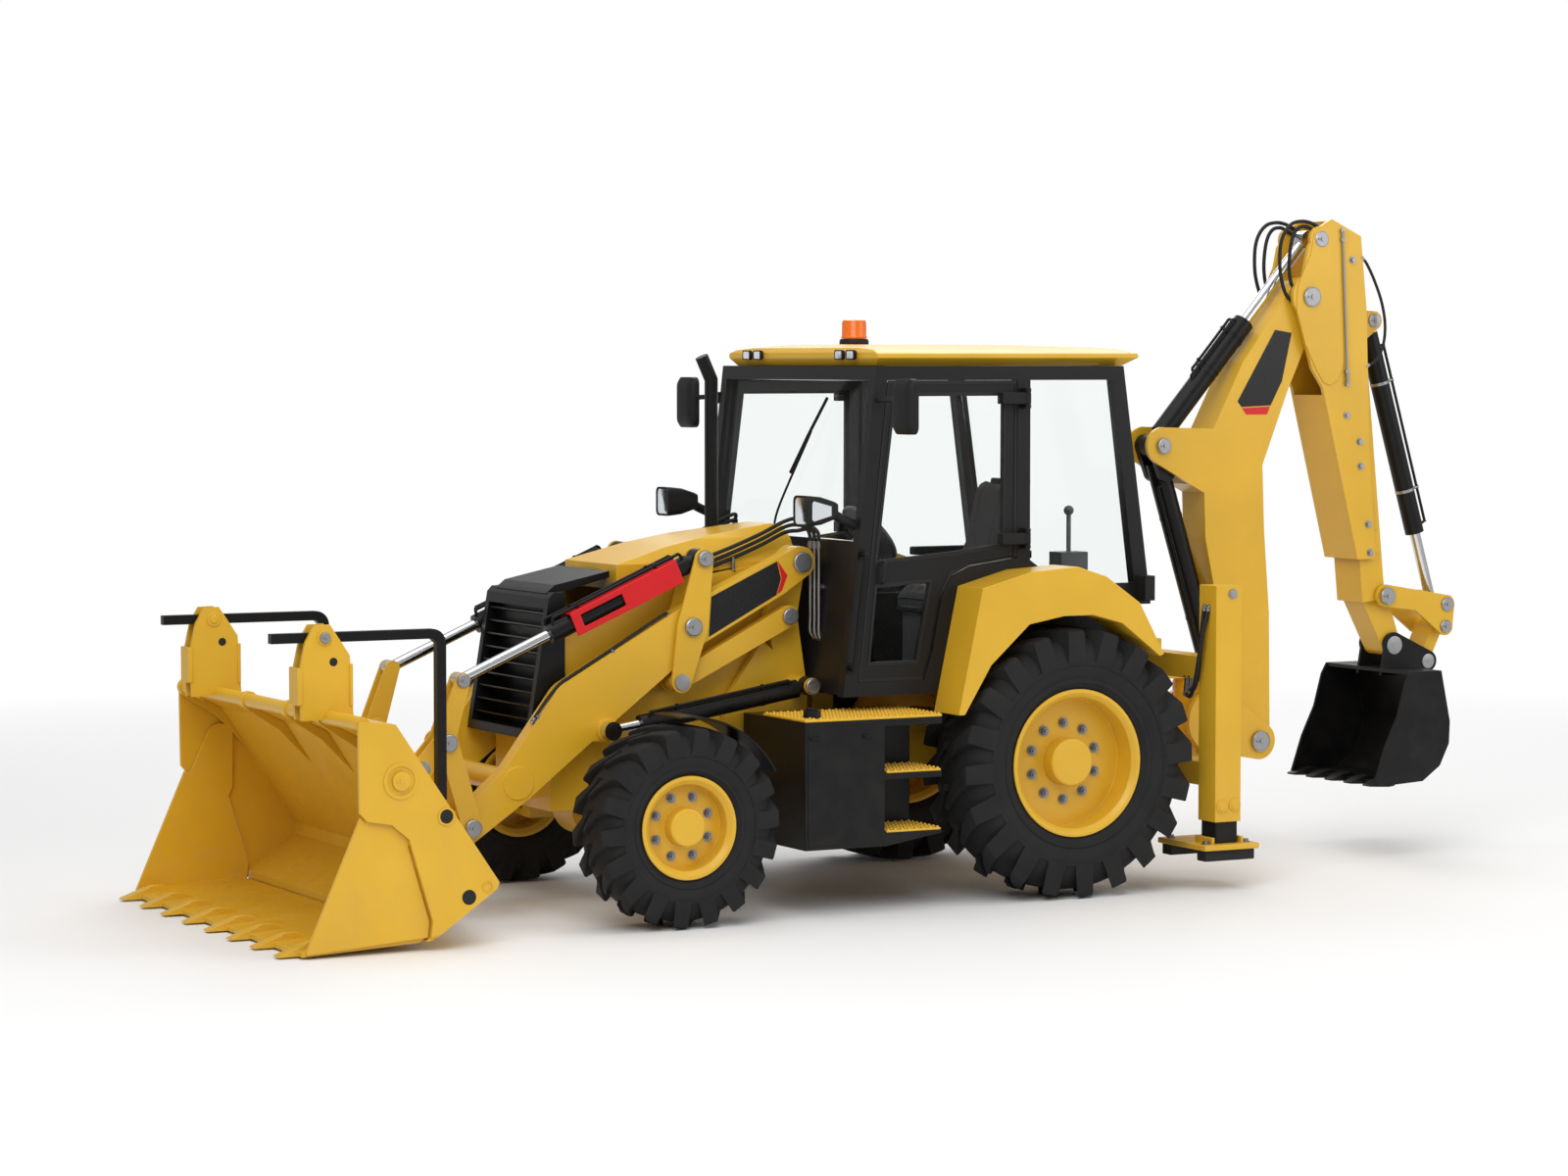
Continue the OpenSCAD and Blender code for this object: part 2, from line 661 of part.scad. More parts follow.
module front_levers() {
    color(yellow) placed() both() {
        for (y = [arm_in, arm_out - plate_t]) side(y, y + plate_t) difference() {
            union() {
                chain([tilt_eye, idler_top, lever_nose], [38, 54, 52]);
                polygon([tilt_eye, idler_top, lever_nose]);
            }
            for (p = [idler_top, lever_nose]) translate(p) circle(pin_r + run);
        }
    }
}

module lift_barrels() {
    color(black) placed() both() translate([0, lift_y, 0])
        barrel(lift_base, lift_eye, 45, 26, 940, 48, pin_r, lift_half);
}

module lift_rods() {
    color(chrome) placed() both() translate([0, lift_y, 0]) rod(lift_base, lift_eye, 26, 150, 46, lift_half);
}

module hinge_pins() {
    color(chrome) placed() both() pin(bucket_hinge, pin_r, inner_y - plate_t - 2, outer_y + plate_t + 2);
}

module idler_pins() {
    color(chrome) placed() both() pin(idler_foot, pin_r, idler_in - 6, idler_out + plate_t + 8);
}

module lever_pins() {
    color(chrome) placed() both() pin(idler_top, pin_r, idler_in - 6, idler_out + plate_t + 8);
}

clam_pivot = [3706, 789];
bucket_inside = [[3286, 331], [3696.7, 942.2], [4100, 942.2], [4100, 96.7], [3550, 96.7], [3297, 271.5]];
back_outline = [[3221, 300], [3232, 270], [3509, 78], [3560, 66], [3552, 141], [3665, 519], [3750, 591], [3869, 612],
    [3904, 650], [3909, 1066], [3729, 1046]];
clam_outline = [[3566, 64], [4152, 20], [4152, 40], [3892, 628], [3868, 606], [3752, 585], [3672, 515], [3560, 138]];

module loader_bucket() {
    inner = bucket_half - bucket_t;
    color(yellow) placed() {
        both() difference() {
            side(inner, bucket_half) polygon(back_outline);
            pin(clam_pivot, 34 + run, inner - 1, bucket_half + 1);
        }
        side(-inner - 1, inner + 1) polygon([[3221, 300], [3232, 270], [3509, 78], [3556, 66], [3552, 100], [3300, 275],
            [3290, 330], [3700, 940], [3860, 1020], [3909, 1066], [3729, 1046]]);
        pin([3880, 1050], 34, -inner - 1, inner + 1);
        both() {
            for (y = [inner_y - plate_t, outer_y]) side(y, y + plate_t) difference() {
                union() {
                    strap(bucket_hinge, [3330, 340], 58, 60);
                    strap(bucket_hinge, [3250, 290], 58, 30);
                }
                translate(bucket_hinge) circle(pin_r + run);
                polygon(bucket_inside);
            }
            side(arm_mid - eye_half, arm_mid + eye_half) difference() {
                strap(lever_nose, [3560, 700], 52, 90);
                polygon(bucket_inside);
            }
            pin(lever_nose, pin_r, arm_in - 2, arm_out + 2);
            for (y = [695, 775]) side(y, y + 20) polygon([[3764, 1040], [4020, 1040], [4027, 1267], [3998, 1401],
                [3954, 1476], [3878, 1478], [3782, 1335]]);
            pin(fork_pin, 20, 690, 800);
        }
    }
}

module bucket_clam() {
    inner = bucket_half - 2 * bucket_t - 4;
    color(yellow) placed() {
        both() {
            side(inner, inner + bucket_t) {
                polygon(clam_outline);
                chain([clam_pivot, [3760, 560]], [70, 120]);
            }
            pin(clam_pivot, 34, inner, bucket_half + 10);
        }
        side(-inner - 1, inner + 1) polygon([[3566, 64], [3600, 40], [4170, 10], [4170, 34], [3600, 74]]);
        for (i = [0 : 7]) translate([0, (i - 3.5) * tooth_pitch, 0]) side(-34, 34)
            polygon([[4060, 36], [4130, 62], [tooth_tip, 14], [tooth_tip, 8], [4120, 8], [4060, 20]]);
    }
}

fork_pin = [3905, 1418];
module forks() {
    color(black) placed() both() difference() {
        side(722, 768) {
            polygon([[3360, 1395], [4153, 1395], [4153, 1441], [3360, 1441]]);
            translate([3360, 1371]) circle(70);
            polygon([[3290, 640], [3336, 640], [3336, 1371], [3290, 1371]]);
        }
        pin(fork_pin, 20 + run, 700, 790);
        side(700, 790) polygon([[3336, 1371], [3336, 1200], [3600, 1200], [3600, 1395], [3360, 1395]]);
    }
}

module rear_frame() {
    beam_half = leg_y - tube_w / 2 + 5;
    color(yellow) placed() {
        for (z = [520, 1060]) translate([leg_x - 60, -beam_half, z]) cube([120, 2 * beam_half, 120]);
        both() {
            difference() {
                translate([leg_x - tube_w / 2, leg_y - tube_w / 2, 345]) cube([tube_w, tube_w, 1203]);
                translate([leg_x - tube_w / 2 + 10, leg_y - tube_w / 2 + 10, 340]) cube([tube_w - 20, tube_w - 20, 1190]);
            }
            translate([-810, 230, 520]) cube([60, 100, 660]);
            difference() {
                translate([-830, tie_y - 50, 560]) cube([120, 100, tie_t]);
                translate([-750, tie_y, 550]) cylinder(r = tie_r, h = tie_t + 20);
            }
        }
    }
}

module stabiliser(s) {
    leg = tube_w - 20 - 1.6;
    color(black) placed() mirror([0, s < 0 ? 1 : 0, 0]) {
        translate([leg_x - leg / 2, leg_y - leg / 2, 230]) cube([leg, leg, 1250]);
        translate([leg_x - 165, leg_y - 319, 205]) cube([330, 440, 30]);
        for (y = [leg_y - 300, leg_y + 20]) translate([leg_x - 150, y, 150]) cube([300, 80, 56]);
    }
}

module shift_carriage() {
    back = leg_x - 60 - 0.5;
    color(yellow) placed() difference() {
        union() {
            translate([back - 40, -330, 470]) cube([40, 660, 760]);
            translate([back - 20, -330, 1180.5]) cube([100, 660, 30]);
            translate([back - 20, -330, 489.5]) cube([100, 660, 30]);
            for (z = [490, 990]) {
                translate([swing_x, -70, z]) cube([back - swing_x - 20, 140, 70]);
                translate([swing_x, 0, z]) cylinder(r = 70, h = 70);
            }
            translate([swing_x, 0, 485]) cylinder(r = 45, h = 590);
        }
    }
}

module swing_post() {
    color(yellow) placed() difference() {
        union() {
            translate([swing_x, 0, 562]) cylinder(r = 95, h = 426);
            translate([swing_x - 100, -150, 580]) cube([120, 300, 380]);
            both() {
                side(boom_half + gap, 150) strap([swing_x - 60, 760], boom_foot, 170, 100);
                side(44, 64) strap([swing_x - 40, 870], boom_rod_pin, 80, 56);
            }
            pin(boom_foot, 40, -160, 160);
        }
        translate([swing_x, 0, 400]) cylinder(r = 45 + run, h = 800);
    }
}

boom_points = [boom_foot, [-1640, 1320], [-1575, 1760], [-1560, 2160], [-1760, 2590], boom_nose];
boom_radii = [95, 160, 190, 190, 165, 108];

module boom() {
    color(yellow) placed() difference() {
        union() {
            side(-boom_half, boom_half) {
                chain(boom_points, boom_radii);
                strap(boom_lug, [-1540, 2120], 100, 200);
            }
            pin(boom_lug, 32, -boom_half - 8, boom_half + 8);
        }
        difference() {
            side(-86, 86) {
                strap(boom_lug, toward(boom_lug, stick_top, 700), 112, 80);
                strap(boom_lug, toward(boom_lug, boom_rod_pin, 700), 112, 84);
                translate(boom_lug) circle(125);
            }
            pin(boom_lug, 32, -boom_half, boom_half);
        }
        side(-72, 72) strap(toward(boom_lug, boom_rod_pin, 300), boom_rod_pin, 96, 140);
        pin(boom_foot, 40 + run, -boom_half - 1, boom_half + 1);
        pin(boom_nose, 40 + run, -boom_half - 1, boom_half + 1);
    }
}

module boom_barrel() {
    head = toward(boom_lug, boom_rod_pin, 150);
    color(black) placed() {
        difference() {
            barrel(boom_lug, boom_rod_pin, 60, 34, 1180, 62, 32, 80);
            pin(boom_lug, 110, -44, 44);
            pin(boom_lug, 63, -81, 81);
        }
        both() difference() {
            side(46, 80) strap(boom_lug, head, 60, 50);
            pin(boom_lug, 32 + run, 40, 90);
        }
    }
}

module boom_rod() {
    color(chrome) placed() rod(boom_lug, boom_rod_pin, 34, 560, 50, 38);
}

module stick_barrel() {
    color(black) placed() barrel(boom_lug, stick_top, 58, 32, 880, 62, 32, 40);
}

module stick_rod() {
    color(chrome) placed() rod(boom_lug, stick_top, 32, 665, 50, 40);
}

module stick() {
    ear = [[-1940, 2960], [-2040, 2640], [-2110, 2540], [-2350, 1605], [-2470, 1605], [-2420, 2230], [-2395, 2973],
        [-2354, 3360], [-2160, 3450], [-2090, 3410], [-2010, 3300]];
    color(yellow) placed() {
        both() side(slide_half + 12, stick_half) difference() {
            union() {
                polygon(ear);
                translate(boom_nose) circle(118);
                translate(stick_top) circle(70);
            }
        }
        pin(boom_nose, 40, -stick_half - 8, stick_half + 8);
        side(-stick_half + 4, stick_half - 4) polygon([[-2120, 2500], [-2350, 1605], [-2365, 1605], [-2150, 2500]]);
        side(-stick_half + 4, stick_half - 4) polygon([[-2360, 3330], [-2160, 3440], [-2170, 3415], [-2350, 3310]]);
        both() side(slide_half + run, slide_half + 13) translate(slide_top) rotate(-slide_lean) {
            translate([20, -760]) square([100, 120]);
            translate([20, -1340]) square([100, 120]);
        }
    }
}

module sliding_stick() {
    color(yellow) placed() difference() {
        union() {
            side(-slide_half, slide_half) translate(slide_top) rotate(-slide_lean)
                polygon([[0, 0], [0, -1560], [40, -1600], [150, -1600], [150, -1240], [130, 0]]);
            side(-90, 90) {
                strap(hoe_pivot, hoe_lever_pin + [40, 0], 60, 84);
            }
            pin(hoe_lever_pin, 36, -160, 160);
            both() side(60, 84) strap(hoe_base, slide_top + [10, -100], 52, 90);
            pin(hoe_base, 26, -84, 84);
        }
        pin(hoe_pivot, 36 + run, -100, 100);
    }
}

module hoe_barrel() {
    color(black) placed() barrel(hoe_base, hoe_eye, 52, 29, 1220, 50, 26, 54);
}

module hoe_rod() {
    color(chrome) placed() rod(hoe_base, hoe_eye, 29, 500, 46, 44);
}

module hoe_lever() {
    color(yellow) placed() both() side(slide_half + 6, slide_half + 28) difference() {
        union() {
            chain([hoe_lever_pin, hoe_eye], [62, lever_end_r]);
            chain([toward(hoe_lever_pin, hoe_eye, 230), hoe_link_top], [60, 50]);
            strap(hoe_eye, hoe_link_top, lever_end_r, 50);
        }
        translate(hoe_lever_pin) circle(36 + run);
    }
}

module hoe_link() {
    reach = dist(hoe_link_foot, hoe_link_top);
    color(yellow) placed() difference() {
        union() {
            for (p = [hoe_link_foot, hoe_link_top]) pin(p, 41, -86, 86);
            translate([hoe_link_foot[0], -78, hoe_link_foot[1]])
                rotate([0, -along(hoe_link_foot, hoe_link_top), 0]) translate([0, 0, -34]) cube([reach, 156, 68]);
        }
        pin(hoe_link_foot, 30 + run, -90, 90);
    }
}

module hoe_bucket() {
    wall = hoe_half - 16;
    skin = [[-2535, 1000], [-2740, 1000], [-2800, 720], [-2795, 600], [-2735, 480], [-2620, 400], [-2360, 385]];
    color(black) placed() {
        both() {
            side(wall, hoe_half) polygon(concat(skin, [[-2300, 400], [-2370, 600], [-2450, 760], [-2500, 940]]));
            side(96, 116) difference() {
                union() {
                    strap(hoe_pivot, hoe_link_foot, 70, 58);
                    polygon([hoe_pivot + [60, 0], [-2540, 960], [-2745, 960], hoe_link_foot + [-50, 0]]);
                }
            }
        }
        pin(hoe_pivot, 36, -118, 118);
        pin(hoe_link_foot, 30, -117, 117);
        side(-wall - 1, wall + 1) polygon(concat(skin, [[-2360, 405], [-2610, 420], [-2720, 495], [-2775, 605], [-2780, 720],
            [-2726, 980], [-2535, 980]]));
        for (i = [0 : 4]) translate([0, (i - 2) * 176, 0]) side(-30, 30)
            polygon([[-2400, 384], [-2400, 415], [-2270, 392], [-2270, 386]]);
    }
}

main_frame();
rear_frame();
engine_block();
axles();
radiator_cowl();
hood();
cab_frame();
cab_roof();
cab_glass();
cab_interior();
seat();
fenders();
side_boxes();
step_treads();
exhaust_stack();
lamps_and_mirrors();
door(1);  // door_left
door(-1);  // door_right
knuckle(1);  // knuckle_left
knuckle(-1);  // knuckle_right
front_rim(1);  // rim_front_left
front_rim(-1);  // rim_front_right
rear_rim(1);  // rim_rear_left
rear_rim(-1);  // rim_rear_right
front_tyre(1);  // tyre_front_left
front_tyre(-1);  // tyre_front_right
rear_tyre(1);  // tyre_rear_left
rear_tyre(-1);  // tyre_rear_right
loader_arms();
level_links();
rear_levers();
tilt_barrels();
tilt_rods();
service_brace();
idler_links();
front_levers();
lift_barrels();
lift_rods();
hinge_pins();
idler_pins();
lever_pins();
loader_bucket();
bucket_clam();
forks();
shift_carriage();
swing_post();
boom();
boom_barrel();
boom_rod();
stick_barrel();
stick_rod();
stick();
sliding_stick();
hoe_barrel();
hoe_rod();
hoe_lever();
hoe_link();
hoe_bucket();
stabiliser(1);  // stabiliser_left
stabiliser(-1);  // stabiliser_right
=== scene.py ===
import math

import bmesh
import bpy
from mathutils import Matrix, Vector


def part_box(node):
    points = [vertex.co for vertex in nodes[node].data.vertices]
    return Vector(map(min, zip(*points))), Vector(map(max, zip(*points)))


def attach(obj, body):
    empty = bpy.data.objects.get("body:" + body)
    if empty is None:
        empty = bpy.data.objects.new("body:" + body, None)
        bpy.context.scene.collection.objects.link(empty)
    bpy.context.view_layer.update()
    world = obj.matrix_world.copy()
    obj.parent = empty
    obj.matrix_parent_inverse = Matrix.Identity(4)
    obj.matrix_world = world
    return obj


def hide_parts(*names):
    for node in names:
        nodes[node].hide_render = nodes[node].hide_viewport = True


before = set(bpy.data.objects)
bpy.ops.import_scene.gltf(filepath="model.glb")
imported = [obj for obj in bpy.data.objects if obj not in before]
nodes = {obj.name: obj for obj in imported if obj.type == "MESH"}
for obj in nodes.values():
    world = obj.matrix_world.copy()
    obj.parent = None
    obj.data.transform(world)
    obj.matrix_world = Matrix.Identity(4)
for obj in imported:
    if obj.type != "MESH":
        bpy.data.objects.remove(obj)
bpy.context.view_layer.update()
rearLow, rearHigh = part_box("tyre_rear_left")
frontLow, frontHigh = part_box("tyre_front_left")
rearAxle = (rearLow + rearHigh) / 2
frontAxle = (frontLow + frontHigh) / 2
print("frame loaded:", len(nodes), "nodes")


def at(x, y, z):
    # millimetres forward of the rear axle, left and up, as in the part's source
    return Vector((rearAxle.x + x / 1000, y / 1000, z / 1000))


# node groups for the finishes
floatSocket, colorSocket = "NodeSocketFloat", "NodeSocketColor"


def newGroup(name, **given):
    # a tuple makes a colour socket, a number an amount
    group = bpy.data.node_groups.new(name, "ShaderNodeTree")
    for label, value in given.items():
        isColor = isinstance(value, tuple)
        socket = group.interface.new_socket(name=label.replace("_", " "), in_out="INPUT",
                                            socket_type=colorSocket if isColor else floatSocket)
        socket.default_value = (*value, 1) if isColor else value
    for label, kind in (("Color", colorSocket), ("Roughness", floatSocket), ("Height", floatSocket)):
        group.interface.new_socket(name=label, in_out="OUTPUT", socket_type=kind)
    return group, group.nodes.new("NodeGroupInput").outputs, group.nodes.new("NodeGroupOutput").inputs


def feed(tree, socket, value):
    # links an output, or sets a constant on the socket
    if isinstance(value, bpy.types.NodeSocket):
        tree.links.new(value, socket)
    else:
        socket.default_value = value


def calc(tree, operation, *values, clamp=False):
    made = tree.nodes.new("ShaderNodeMath")
    made.operation = operation
    made.use_clamp = clamp
    for socket, value in zip(made.inputs, values):
        feed(tree, socket, value)
    return made.outputs[0]


def scaled(tree, color, factor):
    made = tree.nodes.new("ShaderNodeVectorMath")
    made.operation = "SCALE"
    feed(tree, made.inputs[0], color)
    feed(tree, made.inputs["Scale"], factor)
    return made.outputs[0]


def objectPlace(tree):
    return tree.nodes.new("ShaderNodeTexCoord").outputs["Object"]


def noiseAt(tree, scale, detail=3.0, rough=0.5):
    noise = tree.nodes.new("ShaderNodeTexNoise")
    for key, value in (("Vector", objectPlace(tree)), ("Scale", scale), ("Detail", detail), ("Roughness", rough)):
        feed(tree, noise.inputs[key], value)
    return noise.outputs["Fac"]


def remap(tree, value, low, high, newLow, newHigh):
    made = tree.nodes.new("ShaderNodeMapRange")
    for key, number in (("Value", value), ("From Min", low), ("From Max", high), ("To Min", newLow), ("To Max", newHigh)):
        feed(tree, made.inputs[key], number)
    return made.outputs["Result"]


def mixColor(tree, factor, a, b):
    made = tree.nodes.new("ShaderNodeMix")
    made.data_type = "RGBA"
    for index, value in ((0, factor), (6, a), (7, b)):
        feed(tree, made.inputs[index], value)
    return made.outputs[2]


def paintGroup():
    # sprayed enamel: faint mottle, settled dust low on the machine, orange peel
    tree, given, out = newGroup("sprayedEnamel", Color=(0.8, 0.5, 0.03), Dust_Color=(0.32, 0.27, 0.2), Dust=0.15,
                                Roughness=0.32, Mottle=0.06)
    cloud = remap(tree, noiseAt(tree, 2.3, 4), 0.3, 0.7, -1.0, 1.0)
    tinted = scaled(tree, given["Color"], calc(tree, "MULTIPLY_ADD", cloud, given["Mottle"], 1.0))
    split = tree.nodes.new("ShaderNodeSeparateXYZ")
    feed(tree, split.inputs[0], objectPlace(tree))
    low = remap(tree, split.outputs["Z"], 1.3, 0.1, 0.12, 1.0)
    ragged = remap(tree, noiseAt(tree, 9.0, 6, 0.62), 0.42, 0.7, 0.0, 1.0)
    dust = calc(tree, "MULTIPLY", low, ragged)
    amount = calc(tree, "MULTIPLY", dust, given["Dust"], clamp=True)
    feed(tree, out["Color"], mixColor(tree, amount, tinted, given["Dust Color"]))
    rough = calc(tree, "MULTIPLY_ADD", dust, 0.25, given["Roughness"], clamp=True)
    speck = remap(tree, noiseAt(tree, 160.0, 3, 0.6), 0.3, 0.7, -0.03, 0.05)
    feed(tree, out["Roughness"], calc(tree, "ADD", rough, speck, clamp=True))
    feed(tree, out["Height"], noiseAt(tree, 240.0, 2))
    return tree


def rubberGroup():
    # moulded rubber: greyed patches, fine pits
    tree, given, out = newGroup("mouldedRubber", Color=(0.02, 0.02, 0.021), Worn_Color=(0.06, 0.058, 0.055), Worn=0.5)
    patch = remap(tree, noiseAt(tree, 7.0, 5, 0.6), 0.35, 0.75, 0.0, 1.0)
    amount = calc(tree, "MULTIPLY", patch, given["Worn"], clamp=True)
    feed(tree, out["Color"], mixColor(tree, amount, given["Color"], given["Worn Color"]))
    feed(tree, out["Roughness"], remap(tree, patch, 0.0, 1.0, 0.62, 0.85))
    feed(tree, out["Height"], noiseAt(tree, 320.0, 4, 0.7))
    return tree


def steelGroup():
    # bare or plated steel: fine streaks and stains
    tree, given, out = newGroup("drawnSteel", Color=(0.7, 0.71, 0.72), Stain_Color=(0.3, 0.26, 0.22), Stain=0.1,
                                Roughness=0.2)
    patch = remap(tree, noiseAt(tree, 12.0, 5, 0.65), 0.45, 0.75, 0.0, 1.0)
    amount = calc(tree, "MULTIPLY", patch, given["Stain"], clamp=True)
    feed(tree, out["Color"], mixColor(tree, amount, given["Color"], given["Stain Color"]))
    fine = remap(tree, noiseAt(tree, 90.0, 4), 0.3, 0.7, -0.05, 0.08)
    feed(tree, out["Roughness"], calc(tree, "ADD", fine, given["Roughness"], clamp=True))
    feed(tree, out["Height"], noiseAt(tree, 400.0, 3))
    return tree


def grainGroup():
    # moulded plastic: small cells and rubbed patches
    tree, given, out = newGroup("mouldGrain", Color=(0.05, 0.05, 0.052), Cell=420.0, Roughness=0.55)
    cell = tree.nodes.new("ShaderNodeTexVoronoi")
    feed(tree, cell.inputs["Vector"], objectPlace(tree))
    feed(tree, cell.inputs["Scale"], given["Cell"])
    shade = remap(tree, noiseAt(tree, 5.0, 4), 0.3, 0.7, 0.88, 1.12)
    feed(tree, out["Color"], scaled(tree, given["Color"], shade))
    feed(tree, out["Roughness"], calc(tree, "MULTIPLY", shade, given["Roughness"], clamp=True))
    feed(tree, out["Height"], cell.outputs["Distance"])
    return tree


def weaveGroup():
    # woven seat cover: crossed threads
    tree, given, out = newGroup("crossedThreads", Color=(0.05, 0.05, 0.055), Thread_Color=(0.11, 0.11, 0.115), Scale=260.0)
    waves = []
    for direction in ("X", "Y", "Z"):
        wave = tree.nodes.new("ShaderNodeTexWave")
        wave.bands_direction = direction
        feed(tree, wave.inputs["Vector"], objectPlace(tree))
        feed(tree, wave.inputs["Scale"], given["Scale"])
        waves.append(wave.outputs["Fac"])
    cross = calc(tree, "MULTIPLY", waves[0], waves[1])
    feed(tree, out["Color"], mixColor(tree, cross, given["Color"], given["Thread Color"]))
    feed(tree, out["Roughness"], remap(tree, noiseAt(tree, 30.0), 0.3, 0.7, 0.8, 0.95))
    feed(tree, out["Height"], calc(tree, "ADD", cross, waves[2]))
    return tree


groups = {"paint": paintGroup(), "rubber": rubberGroup(), "steel": steelGroup(), "grain": grainGroup(),
          "weave": weaveGroup()}


def shaderOf(name, values):
    made = bpy.data.materials.new(name)
    made.use_nodes = True
    surface = made.node_tree.nodes["Principled BSDF"]
    for key, value in values.items():
        surface.inputs[key.replace("_", " ")].default_value = value
    return made, made.node_tree, surface


def finish(name, group, values, bump=0.05, distance=0.001, **shader):
    made, tree, surface = shaderOf(name, shader)
    effect = tree.nodes.new("ShaderNodeGroup")
    effect.node_tree = groups[group]
    for key, value in values.items():
        effect.inputs[key].default_value = (*value, 1) if isinstance(value, tuple) else value
    relief = tree.nodes.new("ShaderNodeBump")
    for key, value in (("Strength", bump), ("Distance", distance), ("Height", effect.outputs["Height"])):
        feed(tree, relief.inputs[key], value)
    for key, value in (("Base Color", effect.outputs["Color"]), ("Roughness", effect.outputs["Roughness"]),
                       ("Normal", relief.outputs["Normal"])):
        feed(tree, surface.inputs[key], value)
    return made


def clear(name, color, roughness, **shader):
    return shaderOf(name, {"Base_Color": (*color, 1), "Roughness": roughness, **shader})[0]


paints = {
    "yellow": finish("yellowEnamel", "paint", {"Color": (0.70, 0.405, 0.022), "Dust": 0.08, "Roughness": 0.33},
                     Coat_Weight=0.12, Coat_Roughness=0.15, Specular_IOR_Level=0.4),
    "black": finish("blackEnamel", "paint", {"Color": (0.006, 0.006, 0.0064), "Dust": 0.03, "Roughness": 0.32},
                    Specular_IOR_Level=0.22),
    "cabBlack": finish("cabBlackEnamel", "paint", {"Color": (0.011, 0.011, 0.0115), "Dust": 0.03, "Roughness": 0.36},
                       Specular_IOR_Level=0.22),
    "red": finish("redEnamel", "paint", {"Color": (0.62, 0.008, 0.012), "Dust": 0.04, "Roughness": 0.3},
                  Specular_IOR_Level=0.35),
    "chrome": finish("platedRod", "steel", {"Roughness": 0.12, "Stain": 0.04}, bump=0.01, Metallic=1.0),
    "steel": finish("bareSteel", "steel", {"Color": (0.27, 0.27, 0.28), "Stain": 0.4, "Roughness": 0.38}, Metallic=1.0),
    "tyre": finish("tyreRubber", "rubber", {"Color": (0.012, 0.012, 0.0125), "Worn Color": (0.032, 0.031, 0.03)}, bump=0.15,
                   Specular_IOR_Level=0.2),
    "hose": finish("hoseRubber", "rubber", {"Color": (0.008, 0.008, 0.0085), "Worn": 0.12}, bump=0.08,
                   Specular_IOR_Level=0.4),
    "plastic": finish("blackPlastic", "grain", {"Color": (0.012, 0.012, 0.013)}, bump=0.12, Specular_IOR_Level=0.22),
    "grey": finish("greyPlastic", "grain", {"Color": (0.075, 0.077, 0.08)}, bump=0.12),
    "iron": finish("castIron", "rubber", {"Color": (0.03, 0.03, 0.031), "Worn": 0.6}, bump=0.2),
    "seat": finish("seatCloth", "weave", {}, bump=0.25, distance=0.0006),
    "decalBlack": finish("panelFilm", "paint", {"Color": (0.012, 0.012, 0.013), "Dust": 0.03, "Roughness": 0.25},
                         Specular_IOR_Level=0.25),
    "silver": finish("zincPin", "steel", {"Color": (0.36, 0.36, 0.37), "Stain": 0.15, "Roughness": 0.4}, Metallic=1.0),
    "lens": clear("lampLens", (0.94, 0.96, 0.97), 0.06, Transmission_Weight=1.0, IOR=1.25),
    "redLens": clear("redLens", (0.55, 0.012, 0.012), 0.1, Transmission_Weight=0.3, IOR=1.45),
    "mirror": clear("mirrorGlass", (0.8, 0.82, 0.83), 0.03, Metallic=1.0),
    "amber": clear("amberDome", (0.95, 0.22, 0.01), 0.12, Transmission_Weight=0.35, IOR=1.45),
    "glass": clear("tintedGlass", (0.95, 0.97, 0.965), 0.02, Transmission_Weight=1.0, IOR=1.1),
}
print("finishes ready:", len(paints))

finishOf = {
    "yellow": ["main_frame", "rear_frame", "axles", "hood", "cab_roof", "fenders", "rim_front_left", "rim_front_right",
               "rim_rear_left", "rim_rear_right", "loader_arms", "level_links", "rear_levers", "idler_links",
               "front_levers", "loader_bucket", "bucket_clam", "shift_carriage", "swing_post", "boom", "stick",
               "sliding_stick", "hoe_lever", "hoe_link", "step_treads"],
    "black": ["radiator_cowl", "side_boxes", "exhaust_stack", "tilt_barrels", "lift_barrels", "boom_barrel",
              "stick_barrel", "hoe_barrel", "knuckle_left", "knuckle_right", "forks", "hoe_bucket"],
    "cabBlack": ["cab_frame"],
    "grey": ["cab_interior"], "iron": ["engine_block"],
    "chrome": ["tilt_rods", "lift_rods", "boom_rod", "stick_rod", "hoe_rod", "hinge_pins", "idler_pins", "lever_pins"],
    "tyre": ["tyre_front_left", "tyre_front_right", "tyre_rear_left", "tyre_rear_right"], "red": ["service_brace"],
    "glass": ["cab_glass"],
}
cadEdge = {"weld": 0.0012, "flat": 0.6, "round": 0.0045, "segments": 2, "angle": 28}


def roundEdges(piece, width, angle):
    rounded = piece.modifiers.new("roundedEdges", "BEVEL")
    rounded.width = width
    rounded.segments = cadEdge["segments"]
    rounded.limit_method = "ANGLE"
    rounded.angle_limit = math.radians(angle)


def dressNodes():
    # CAD nodes keep their mesh; doubled points join, flat faces merge and edges are rounded by modifiers
    for key, names in finishOf.items():
        for name in names:
            node = nodes[name]
            node.data.materials.clear()
            node.data.materials.append(paints[key])
            for face in node.data.polygons:
                face.use_smooth = True
            weld = node.modifiers.new("weld", "WELD")
            weld.merge_threshold = cadEdge["weld"]
            flat = node.modifiers.new("flatFaces", "DECIMATE")
            flat.decimate_type = "DISSOLVE"
            flat.angle_limit = math.radians(cadEdge["flat"])
            roundEdges(node, cadEdge["round"], cadEdge["angle"])
            node.modifiers.new("faceNormals", "WEIGHTED_NORMAL").weight = 90


dressNodes()
print("frame nodes dressed")

